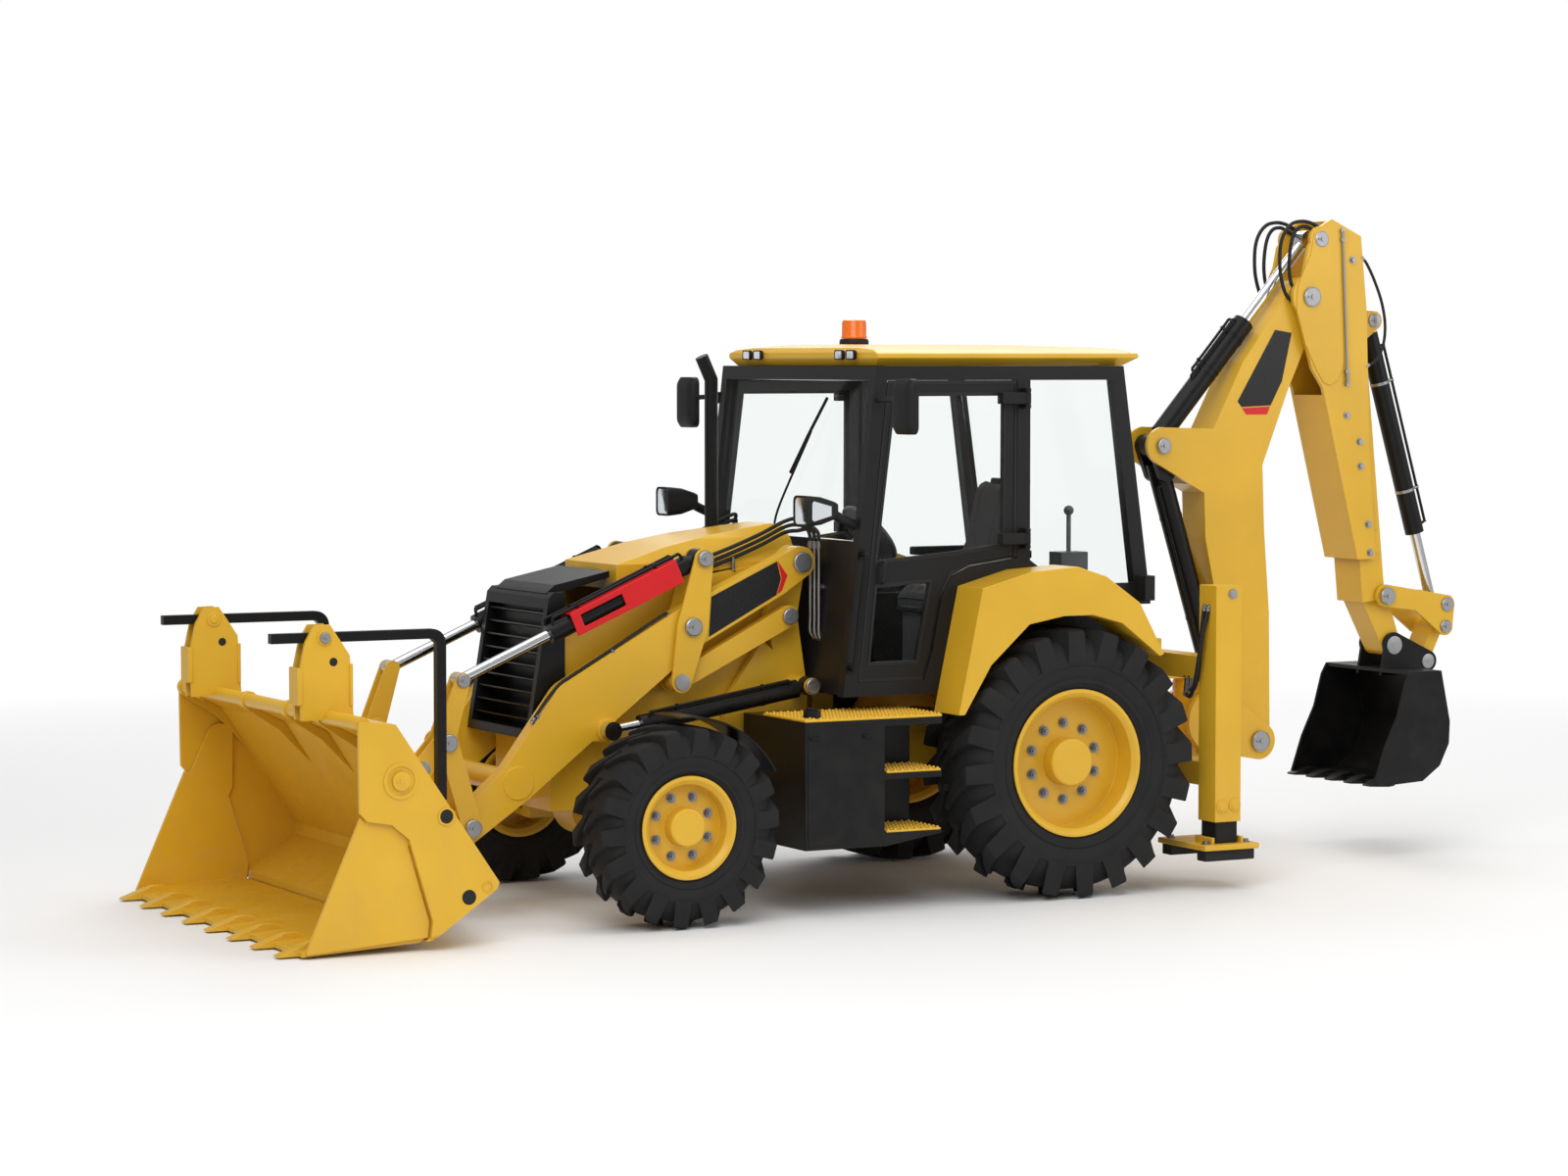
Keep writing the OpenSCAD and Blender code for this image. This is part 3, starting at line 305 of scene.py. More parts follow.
# studio: pale floor, three soft lamps, camera at the photo's place
studio = {"floorHalf": 30.0, "floorColor": (0.86, 0.86, 0.86), "worldStrength": 0.48, "fadeFrom": 5.0, "fadeTo": 13.0}
lamps = {"key": ((7.0, 9.0, 10.0), 9.0, 900.0), "fill": ((-9.0, 9.0, 6.0), 8.0, 380.0),
         "back": ((-6.0, -9.0, 9.0), 8.0, 480.0), "top": ((0.0, 0.0, 12.0), 10.0, 520.0)}
photoView = {"place": (10567, 17931, 2689), "yaw": -117.82, "pitch": -3.264, "lens": 91.725}


def buildStudio():
    scene = bpy.context.scene
    scene.view_settings.view_transform = "Standard"
    half = studio["floorHalf"]
    floorMesh = bpy.data.meshes.new("studioFloor")
    floorMesh.from_pydata([(-half, -half, 0), (half, -half, 0), (half, half, 0), (-half, half, 0)], [], [(0, 1, 2, 3)])
    floor = bpy.data.objects.new("studioFloor", floorMesh)
    scene.collection.objects.link(floor)
    made, tree, surface = shaderOf("paleFloor", {"Base_Color": (*studio["floorColor"], 1), "Roughness": 0.7})
    reach = tree.nodes.new("ShaderNodeVectorMath")
    reach.operation = "LENGTH"
    feed(tree, reach.inputs[0], objectPlace(tree))
    fade = remap(tree, reach.outputs["Value"], studio["fadeFrom"], studio["fadeTo"], 0.0, 1.0)
    through = tree.nodes.new("ShaderNodeBsdfTransparent")
    mixShaders(tree, fade, surface, through, "Material Output")
    floorMesh.materials.append(made)
    world = bpy.data.worlds.new("studioWorld")
    world.use_nodes = True
    tree = world.node_tree
    light, white = tree.nodes["Background"], tree.nodes.new("ShaderNodeBackground")
    for shader in (light, white):
        shader.inputs["Color"].default_value = (1, 1, 1, 1)
    light.inputs["Strength"].default_value = studio["worldStrength"]
    path = tree.nodes.new("ShaderNodeLightPath").outputs
    seen = calc(tree, "MAXIMUM", path["Is Camera Ray"], path["Is Transmission Ray"])
    mixShaders(tree, seen, light, white, "World Output")
    scene.world = world
    for name, (place, size, power) in lamps.items():
        data = bpy.data.lights.new(name, "AREA")
        data.size = size
        data.energy = power
        addView(name, data, Vector(place), Vector((0, 0, 1)) - Vector(place))
    data = bpy.data.cameras.new("photoCamera")
    data.lens = photoView["lens"]
    yaw, pitch = math.radians(photoView["yaw"]), math.radians(photoView["pitch"])
    aim = Vector((math.cos(yaw) * math.cos(pitch), math.sin(yaw) * math.cos(pitch), math.sin(pitch)))
    scene.camera = addView("photoCamera", data, at(*photoView["place"]), aim)


def mixShaders(tree, factor, a, b, output):
    mix = tree.nodes.new("ShaderNodeMixShader")
    for socket, value in zip(mix.inputs, (factor, a.outputs[0], b.outputs[0])):
        feed(tree, socket, value)
    feed(tree, tree.nodes[output].inputs["Surface"], mix.outputs[0])


def addView(name, data, place, aim):
    # a lamp or camera that looks along aim
    made = bpy.data.objects.new(name, data)
    made.location = place
    made.rotation_euler = aim.to_track_quat("-Z", "Y").to_euler()
    bpy.context.scene.collection.objects.link(made)
    return made


buildStudio()
print("studio ready")

# pieces are made with these
bothHands = (("left", 1), ("right", -1))
bevelAngle = 35


def addPiece(name, build, body, finishName, smooth=35, bevel=0.0, replaced=(), mirrored=False):
    # build(form) fills the mesh; a mirrored one is build(form, sign), called for each side
    mesh = meshOf(name, build, mirrored)
    piece = bpy.data.objects.new(name, mesh)
    bpy.context.scene.collection.objects.link(piece)
    mesh.materials.append(paints[finishName])
    if smooth:
        for face in mesh.polygons:
            face.use_smooth = True
        mesh.set_sharp_from_angle(angle=math.radians(smooth))
    if bevel:
        roundEdges(piece, bevel, bevelAngle)
    if replaced:
        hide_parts(*replaced)
    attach(piece, body)


def meshOf(name, build, mirrored=False):
    mesh = bpy.data.meshes.new(name)
    form = bmesh.new()
    for sign in ((1, -1) if mirrored else ()):
        build(form, sign)
    if not mirrored:
        build(form)
    bmesh.ops.recalc_face_normals(form, faces=form.faces)
    form.to_mesh(mesh)
    form.free()
    return mesh


def ringSweep(form, rings, caps=True):
    # joins rings of points into a skin
    made = [[form.verts.new(p) for p in ring] for ring in rings]
    count = len(made[0])
    for a, b in zip(made, made[1:]):
        for i in range(count):
            j = (i + 1) % count
            form.faces.new((a[i], a[j], b[j], b[i]))
    if caps:
        form.faces.new(made[0])
        form.faces.new(list(reversed(made[-1])))


def turns(count):
    return [2 * math.pi * i / count for i in range(count)]


def sideRing(x, y, z, radius, count):
    # circle in side view
    return [at(x + radius * math.cos(a), y, z + radius * math.sin(a)) for a in turns(count)]


def addBox(form, low, high):
    made = bmesh.ops.create_cube(form, size=1.0)["verts"]
    low, high = Vector(low), Vector(high)
    for v in made:
        v.co = Vector([(low[i] + high[i]) / 2 + v.co[i] * (high[i] - low[i]) for i in range(3)])


def boxAt(form, low, high, sign=1):
    # box given in millimetres, either corner first
    p, q = (at(x, sign * y, z) for x, y, z in (low, high))
    addBox(form, [min(p[i], q[i]) for i in range(3)], [max(p[i], q[i]) for i in range(3)])


def addRod(form, start, end, radius, sides=16, endRadius=None):
    start, end = Vector(start), Vector(end)
    made = bmesh.ops.create_cone(form, cap_ends=True, segments=sides, radius1=radius, radius2=endRadius or radius,
                                 depth=(end - start).length)["verts"]
    turn = (end - start).to_track_quat("Z", "Y").to_matrix().to_4x4()
    bmesh.ops.transform(form, matrix=Matrix.Translation((start + end) / 2) @ turn, verts=made)


# tyres: round-shouldered carcass with deep angled lugs that end square on the sidewall
rearTread = {"lugs": 20, "height": 0.036, "tip": (0.034, 0.092), "lean": 0.27, "rim": 0.371, "drop": 0.135}
frontTread = {"lugs": 18, "height": 0.027, "tip": (0.028, 0.076), "lean": 0.30, "rim": 0.248, "drop": 0.105}
# along a lug from the tyre's middle: part of its length, part of the half width
lugRows = ((0.0, -0.06), (0.2, 0.14), (0.4, 0.34), (0.6, 0.54), (0.8, 0.74), (0.95, 0.91), (1.0, 0.975), (1.01, 0.994))

# parts of the wall's height or the shoulder's drop, and of the half width
tyreWall = ((0.10, 0.88), (0.12, 0.915), (0.19, 0.925), (0.21, 0.905), (0.33, 0.955), (0.44, 0.965), (0.45, 0.985),
            (0.52, 0.985), (0.53, 0.962))
tyreShoulder = ((0.9, 0.955), (0.66, 0.915), (0.42, 0.85), (0.22, 0.75), (0.06, 0.58), (0.0, 0.34))


def buildTyre(name, side, tread, body):
    low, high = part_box(name)
    middle = (low + high) / 2
    radius = (high.z - low.z) / 2
    half = (high.y - low.y) / 2
    rim = tread["rim"]
    base = radius - tread["height"]
    drop = tread["drop"]
    wall = base - rim
    profile = [(rim - 0.022, 0.72), (rim - 0.006, 0.79), (rim + 0.004, 0.80), (rim + 0.012, 0.84)]
    profile += [(rim + wall * k, y) for k, y in tyreWall]
    profile += [(base - drop * k, y) for k, y in tyreShoulder]
    profile = [(r, y * half) for r, y in profile]
    profile += [(base + 0.002, 0.0)] + [(r, -y) for r, y in reversed(profile)]
    inner = [(rim - 0.022, -0.66 * half), (rim + wall * 0.4, -0.9 * half), (base - 0.09, -0.7 * half),
             (base - 0.09, 0.7 * half), (rim + wall * 0.4, 0.9 * half), (rim - 0.022, 0.66 * half)]
    outline = profile + inner

    def spot(r, y, a):
        return (middle.x + r * math.cos(a), middle.y + y, middle.z + r * math.sin(a))

    def build(form):
        made = [[form.verts.new(spot(r, y, a)) for r, y in outline] for a in turns(96)]
        for a, b in zip(made, made[1:] + made[:1]):
            for j in range(len(outline)):
                k = (j + 1) % len(outline)
                form.faces.new((a[j], a[k], b[k], b[j]))
        pitch = 2 * math.pi / tread["lugs"]
        for hand in (1, -1):
            for i in range(tread["lugs"]):
                start = i * pitch + (pitch / 2 if hand < 0 else 0)
                rows = []
                for t, y in lugRows:
                    turn = start + side * hand * tread["lean"] * min(t, 1.0) ** 0.85
                    top = radius - 0.0004 - 0.010 * t ** 4 - (0.005 if t >= 1.0 else 0) - (0.012 if t > 1.0 else 0)
                    bottom = base - 0.02 - (drop - 0.02) * t ** 3
                    tip = (tread["tip"][0] + (tread["tip"][1] - tread["tip"][0]) * t) / 2
                    root = tip + 0.006
                    section = ((bottom, -root), (top - 0.004, -tip), (top, -tip + 0.005), (top, tip - 0.005),
                               (top - 0.004, tip), (bottom, root))
                    rows.append([spot(r, hand * half * y, turn + w / r) for r, w in section])
                ringSweep(form, rows)
    addPiece(name + "Tread", build, body, "tyre", smooth=27, replaced=(name,))


for hand, sign in bothHands:
    buildTyre("tyre_rear_" + hand, sign, rearTread, "rear_wheel_" + hand)
    buildTyre("tyre_front_" + hand, sign, frontTread, "front_wheel_" + hand)
print("tyres built")

# doors: a steel frame with two panes, a rubber edge and a handle
door = {"frame": [(1126, 1118), (963, 2582), (233, 2582), (233, 1708), (509, 1673), (607, 1632), (668, 1523), (720, 1254),
                  (766, 1118)],
        "upper": [(1030, 1700), (925, 2520), (300, 2520), (300, 1770), (560, 1735)],
        "lower": [(1070, 1200), (1030, 1580), (720, 1600), (800, 1200)], "faces": (785, 825), "pane": (802, 808),
        "hinge": (190, 872), "hingeHeights": (1800, 2500)}


def sidePlate(form, outline, y0, y1, sign=1):
    ringSweep(form, [[at(x, sign * y, z) for x, z in outline] for y in (y0, y1)])


def plateWithHoles(form, outline, holes, y0, y1, sign=1):
    # side plate cut by window outlines
    edges = []
    for loop in [outline] + holes:
        points = [form.verts.new(at(x, sign * y0, z)) for x, z in loop]
        edges += [form.edges.new((points[i], points[(i + 1) % len(points)])) for i in range(len(points))]
    face = bmesh.ops.triangle_fill(form, edges=edges, use_beauty=True)["geom"]
    faces = [f for f in face if isinstance(f, bmesh.types.BMFace)]
    grown = bmesh.ops.extrude_face_region(form, geom=faces)["geom"]
    for v in grown:
        if isinstance(v, bmesh.types.BMVert):
            v.co.y = sign * y1 / 1000


def insetLoop(loop, by):
    middle = Vector((sum(p[0] for p in loop) / len(loop), sum(p[1] for p in loop) / len(loop)))
    return [tuple(middle + (Vector(p) - middle) * (1 + by / (Vector(p) - middle).length)) for p in loop]


def buildDoor(hand, sign):
    node = "door_" + hand

    def steel(form):
        plateWithHoles(form, door["frame"], [door["upper"], door["lower"]], *door["faces"], sign)
    addPiece("doorFrame_" + hand, steel, node, "cabBlack", bevel=0.006, replaced=(node,))

    def panes(form):
        for key in ("upper", "lower"):
            sidePlate(form, insetLoop(door[key], 6), *door["pane"], sign)
    addPiece("doorPanes_" + hand, panes, node, "glass", smooth=0)

    def rubber(form):
        for key in ("upper", "lower"):
            plateWithHoles(form, insetLoop(door[key], 14), [insetLoop(door[key], -10)], 798, 828, sign)
        plateWithHoles(form, insetLoop(door["frame"], 8), [insetLoop(door["frame"], -14)], 824, 829, sign)
    addPiece("doorSeal_" + hand, rubber, node, "hose", bevel=0.003)

    def hinges(form):
        x, y = door["hinge"]
        for z in door["hingeHeights"]:
            addRod(form, at(x, sign * y, z - 29), at(x, sign * y, z + 29), 0.016, 24)
            boxAt(form, (x, y - 8, z - 29), (x + 150, y + 8, z + 29), sign)
            boxAt(form, (x + 50, 824, z - 29), (x + 150, y + 4, z + 29), sign)
    addPiece("doorHinges_" + hand, hinges, node, "plastic", bevel=0.004)

    def handle(form):
        rows = []
        for x, z, y in ((1000, 1590, 826), (1004, 1600, 852), (1000, 1660, 858), (992, 1700, 852), (990, 1708, 826)):
            rows.append([at(x + 11 * math.cos(a), sign * (y + 7 * math.sin(a)), z) for a in turns(12)])
        ringSweep(form, rows)
    addPiece("doorHandle_" + hand, handle, node, "plastic", smooth=50)


for hand, sign in bothHands:
    buildDoor(hand, sign)
print("doors built")

# wheel nuts
rearStuds = {"count": 10, "ring": 0.192, "seat": 0.0445, "nut": 0.019, "tall": 0.024}
frontStuds = {"count": 8, "ring": 0.148, "seat": 0.0565, "nut": 0.017, "tall": 0.022}


def buildStuds(name, axle, sign, studs, body):
    def build(form):
        for i in range(studs["count"]):
            angle = 2 * math.pi * (i + 0.5) / studs["count"]
            foot = Vector((axle.x + studs["ring"] * math.cos(angle), sign * (axle.y + studs["seat"]),
                           axle.z + studs["ring"] * math.sin(angle)))
            out = Vector((0, sign, 0))
            addRod(form, foot - out * 0.004, foot + out * 0.006, studs["nut"] * 1.45, 18)
            addRod(form, foot, foot + out * studs["tall"], studs["nut"], 6)
            addRod(form, foot, foot + out * (studs["tall"] + 0.012), studs["nut"] * 0.55, 12)
    addPiece(name, build, body, "steel", smooth=30)


for hand, sign in bothHands:
    buildStuds("rearNuts_" + hand, rearAxle, sign, rearStuds, "rear_wheel_" + hand)
    buildStuds("frontNuts_" + hand, frontAxle, sign, frontStuds, "front_wheel_" + hand)

# plain dark panels with a red band, and the doubler plate on the stick
armPanel = {"outline": [(1400, 1697), (1763, 1532), (1777, 1335), (1404, 1530), (1378, 1610)],
            "band": [(1396, 1699), (1374, 1610), (1400, 1532), (1372, 1552), (1341, 1626)], "face": 484}
boomPanel = {"outline": [(-1826, 2852), (-1934, 2836), (-1873, 2577), (-1800, 2446), (-1612, 2438), (-1586, 2468)],
             "band": [(-1796, 2440), (-1614, 2432), (-1642, 2397), (-1777, 2397)], "face": 108}
stickPlate = {"outline": [(-2159, 3440), (-2045, 3375), (-2024, 3261), (-1940, 3090), (-1932, 2960), (-1990, 2776),
                          (-2068, 2630), (-2110, 2570), (-2153, 2552), (-2205, 2580), (-2240, 2651), (-2256, 2800),
                          (-2250, 3300), (-2232, 3402)], "face": 154}


def buildPanel(name, outline, face, sign, body, finishName, proud=0.0012, bevel=0.0):
    def build(form):
        rings = []
        for y in (face / 1000 - 0.0005, face / 1000 + proud):
            rings.append([(at(x, 0, z).x, sign * y, z / 1000) for x, z in outline])
        ringSweep(form, rings)
    addPiece(name, build, body, finishName, smooth=30 if bevel else 0, bevel=bevel)


for hand, sign in bothHands:
    for name, panel, body in (("arm", armPanel, "loader_arms"), ("boom", boomPanel, "boom")):
        buildPanel(name + "Panel_" + hand, panel["outline"], panel["face"], sign, body, "decalBlack")
        buildPanel(name + "Band_" + hand, panel["band"], panel["face"], sign, body, "red")
    buildPanel("stickPlate_" + hand, stickPlate["outline"], stickPlate["face"], sign, "stick", "yellow", 0.005, 0.002)
print("nuts and panels built")

# pin heads with a grease nipple and a keeper bolt: body, place, radius, height where it isn't the usual one
pinTall = 19
pinHeads = [
    ("loader_arms", (1875, 514, 1388), 46), ("rear_levers", (1811, 516, 1719), 40),
    ("rear_levers", (1935, 516, 1120), 40, 4),
    ("chassis", (1265, 500, 1690), 52), ("chassis", (1325, 484, 1422), 42), ("chassis", (1254, 586, 1079), 40),
    ("hinge_pins", (3170, 510, 345), 42, 3), ("idler_pins", (3058, 538, 467), 42), ("lever_pins", (3179, 538, 879), 42),
    ("front_levers", (3083, 484, 1168), 34), ("loader_bucket", (3291, 486, 757), 36, 6),
    ("loader_bucket", (3905, 800, 1418), 26), ("bucket_clam", (3706, 1227, 789), 44, 12),
    ("boom", (-1114, 116, 2234), 42), ("swing_post", (-1715, 160, 640), 56), ("stick", (-2029, 162, 3030), 54),
    ("stick", (-2092, 154, 3341), 44), ("sliding_stick", (-2548, 160, 1400), 48), ("hoe_bucket", (-2628, 118, 1125), 50, 4),
    ("hoe_lever", (-2962, 146, 1342), 40), ("hoe_lever", (-2952, 146, 1220), 36), ("hoe_bucket", (-2858, 117, 1030), 40, 5),
    ("sliding_stick", (-2497, 84, 2905), 38),
]


def buildPinHeads():
    count = 0
    for body, (x, y, z), radius, *tall in pinHeads:
        t = (tall[0] if tall else pinTall) / 1000
        for sign in (1, -1):
            def build(form):
                face = at(x, sign * y, z)
                out = Vector((0, sign, 0))
                r = radius / 1000
                keeper = face + Vector((r * 0.5, 0, 0))
                addRod(form, face - out * 0.001, face + out * t * 0.4, r, 32)
                addRod(form, face + out * t * 0.4, face + out * t * 0.6, r * 0.96, 32, r * 0.86)
                addRod(form, face + out * t * 0.55, face + out * t * 0.9, r * 0.24, 6)
                addRod(form, keeper + out * t * 0.55, keeper + out * t, r * 0.09, 10)
            count += 1
            name = "pinHead_%02d" % count
            addPiece(name, build, body, "yellow" if body == "bucket_clam" else "silver", smooth=30)


buildPinHeads()
print("pin heads built")


# lamps, mirrors, rails and the beacon, in place of the plain CAD lamp boxes
lampSizes = {"head": (765, 1955),
             "headWide": [(1231, 84, 70), (1250, 98, 88), (1330, 138, 136), (1398, 150, 150), (1419, 150, 150)],
             "headCup": [(1419, 136, 136), (1408, 132, 132), (1372, 96, 96), (1352, 40, 40)],
             "flank": [(1288, 1932), (1288, 1978), (1384, 2004), (1392, 1996), (1392, 1914), (1384, 1906)],
             "work": (440, 560), "workHeight": 2715, "corner": 0.2, "mirror": ((1041, 1081, 2331), (1099, 1269, 2599)),
             "rail": [(1180, 828, 1180), (1180, 866, 1184), (1178, 878, 1200), (1146, 878, 1470), (1116, 878, 1722),
                      (1114, 866, 1738), (1114, 828, 1741)],
             "beacon": 700,
             "beaconDome": [(64, 2799), (66, 2806), (63, 2812), (62, 2880), (57, 2892), (40, 2897), (12, 2898)],
             "beaconBase": [(75, 2768.4), (75, 2786), (70, 2797), (50, 2798.5)]}


def roundRing(x, y, z, wide, tall):
    # rounded rectangle standing across the machine
    ring = []
    r = min(wide, tall) * lampSizes["corner"]
    for k, (sy, sz) in enumerate(((1, 1), (-1, 1), (-1, -1), (1, -1))):
        for i in range(6):
            a = math.radians(k * 90 + i * 18)
            ring.append(at(x, y + sy * (wide / 2 - r) + r * math.cos(a), z + sz * (tall / 2 - r) + r * math.sin(a)))
    return ring


def smoothPath(points, steps=8):
    points = [Vector(q) for q in points]
    ends = [points[0] * 2 - points[1]] + points + [points[-1] * 2 - points[-2]]
    path = []
    for a, b, c, d in zip(ends, ends[1:], ends[2:], ends[3:]):
        for i in range(steps):
            t = i / steps
            path.append(0.5 * (2 * b + (c - a) * t + (2 * a - 5 * b + 4 * c - d) * t * t
                               + (3 * b - a - 3 * c + d) * t ** 3))
    return path + [points[-1]]


def addTube(form, path, radius, sides=12):
    heading = (path[1] - path[0]).normalized()
    side = heading.orthogonal().normalized()
    rings = []
    for i, point in enumerate(path):
        ahead = (path[min(i + 1, len(path) - 1)] - path[max(i - 1, 0)]).normalized()
        side.rotate(heading.rotation_difference(ahead))
        heading = ahead
        up = heading.cross(side)
        rings.append([point + radius * (math.cos(a) * side + math.sin(a) * up) for a in turns(sides)])
    ringSweep(form, rings)


def buildLamps():
    y0, z0 = lampSizes["head"]
    workZ = lampSizes["workHeight"]

    def headRings(form, rings, sign):
        ringSweep(form, [roundRing(x, sign * y0, z0, wide, tall) for x, wide, tall in rings])

    def workRings(form, rings, sign):
        for y in lampSizes["work"]:
            ringSweep(form, [roundRing(x, sign * y, workZ, wide, tall) for x, wide, tall in rings])

    def housings(form, sign):
        headRings(form, lampSizes["headWide"] + lampSizes["headCup"], sign)
        addTube(form, smoothPath([at(x, sign * 770, z) for x, z in ((1246, 1940), (1190, 1912), (1112, 1880))]), 0.024)
        boxAt(form, (-480, 830.5, 1472), (-538, 918, 1598), sign)
        boxAt(form, (-404, 622, 2602), (-448, 708, 2650), sign)
    addPiece("lampHousings", housings, "chassis", "plastic", bevel=0.004, replaced=("lamps_and_mirrors",), mirrored=True)

    def workLamps(form, sign):
        workRings(form, ((1010.4, 66, 40), (1022, 80, 50), (1034, 80, 50), (1034, 72, 42), (1028, 66, 36)), sign)
    addPiece("workLampHousings", workLamps, "chassis", "plastic", bevel=0.001, mirrored=True)

    def cups(form, sign):
        headRings(form, [(x + 1.5, wide - 3, tall - 3) for x, wide, tall in lampSizes["headCup"][1:]], sign)
        addTube(form, [at(x, sign * y0, z0) for x in (1352, 1374, 1378)], 0.013)
        sidePlate(form, lampSizes["flank"], 812, 841.5, sign)
        workRings(form, ((1031, 66, 36), (1029, 50, 24)), sign)
    addPiece("lampReflectors", cups, "chassis", "chrome", smooth=40, mirrored=True)

    def lenses(form, sign):
        headRings(form, ((1409, 131, 131), (1414, 131, 131), (1417, 122, 122)), sign)
        sidePlate(form, insetLoop(lampSizes["flank"], 3), 838, 845, sign)
        boxAt(form, (-449, 628, 2607), (-452, 702, 2645), sign)
        workRings(form, ((1031.5, 70, 40), (1034, 70, 40)), sign)
    addPiece("lampLenses", lenses, "chassis", "lens", bevel=0.001, mirrored=True)

    for name, low, high, paint in (("stopLens", 1476, 1530, "redLens"), ("turnLens", 1540, 1594, "amber")):
        def rearLens(form, sign):
            boxAt(form, (-536, 838, low), (-540, 910, high), sign)
            for k in range(3):
                boxAt(form, (-538, 838, low + 10 + k * 16), (-540, 910, low + 14 + k * 16), sign)
        addPiece(name, rearLens, "chassis", paint, bevel=0.001, mirrored=True)

    def mirrors(form, sign):
        (x0, ya, za), (x1, yb, zb) = lampSizes["mirror"]
        ringSweep(form, [roundRing(x, sign * (ya + yb) / 2, (za + zb) / 2, (yb - ya) * k, (zb - za) * k) for x, k in
                         ((x0 + 5, 0.93), (x0, 0.95), (x0 + 2, 1.0), (x0 + 34, 1.0), (x1 - 8, 0.86), (x1, 0.6))])
        arm = ((1028, 829, 2492), (1034, 960, 2496), (1060, 1110, 2490))
        addTube(form, smoothPath([at(x, sign * y, z) for x, y, z in arm]), 0.013)
        boxAt(form, (1000, 830, 2462), (1058, 842, 2522), sign)
    addPiece("mirrorShells", mirrors, "chassis", "plastic", smooth=45, mirrored=True)

    def faces(form, sign):
        ringSweep(form, [roundRing(x, sign * 1175, 2465, 168 * k, 244 * k) for x, k in
                         ((1047, 1.0), (1044.5, 1.0), (1043.5, 0.97))])
    addPiece("mirrorFaces", faces, "chassis", "mirror", smooth=0, mirrored=True)

    def rails(form, sign):
        addTube(form, smoothPath([at(x, sign * y, z) for x, y, z in lampSizes["rail"]]), 0.0125)
        for x, z in ((1180, 1180), (1114, 1740)):
            addRod(form, at(x, sign * 829, z), at(x, sign * 837, z), 0.026, 20)
    addPiece("grabRails", rails, "chassis", "black", smooth=45, mirrored=True)

    for name, paint in (("beaconDome", "amber"), ("beaconBase", "plastic")):
        def beacon(form):
            ringSweep(form, [[at(lampSizes["beacon"] + r * math.cos(a), r * math.sin(a), z) for a in turns(40)]
                             for r, z in lampSizes[name]])
        addPiece(name, beacon, "chassis", paint)


buildLamps()
print("lamps built")

# stabilisers: black inner leg, yellow foot plate, rubber pads
foot = {"leg": (-864, 1027, 133.4), "legZ": (233, 1480), "plate": ((-1029, 708, 206), (-699, 1148, 235)),
        "pads": ((727, 807), (1047, 1127)), "padX": (-1014, -714), "padZ": (150, 206), "bolts": (-985, -743)}


def buildStabiliser(hand, sign):
    node = "stabiliser_" + hand
    x0, y0, wide = foot["leg"]

    def leg(form):
        low, high = foot["legZ"]
        boxAt(form, (x0 - wide / 2, y0 - wide / 2, low), (x0 + wide / 2, y0 + wide / 2, high), sign)
    addPiece("stabLeg_" + hand, leg, node, "black", bevel=0.008, replaced=(node,))

    def plate(form):
        boxAt(form, *foot["plate"], sign)
        for x in (x0 - 96, x0 + 80):  # upstands that hold the leg
            boxAt(form, (x, y0 - 80, 230), (x + 16, y0 + 80, 268), sign)
    addPiece("footPlate_" + hand, plate, node, "yellow", bevel=0.005)

    def pads(form):
        for low, high in foot["pads"]:
            boxAt(form, (foot["padX"][0], low, foot["padZ"][0]), (foot["padX"][1], high, foot["padZ"][1]), sign)
    addPiece("footPads_" + hand, pads, node, "hose", bevel=0.006)

    def bolts(form):
        for x in foot["bolts"]:
            for y in (767, 1087):
                addRod(form, at(x, sign * y, 234), at(x, sign * y, 240), 0.022, 20)
                addRod(form, at(x, sign * y, 239), at(x, sign * y, 252), 0.015, 6)
    addPiece("footBolts_" + hand, bolts, node, "steel", smooth=30)


for hand, sign in bothHands:
    buildStabiliser(hand, sign)
print("stabilisers built")

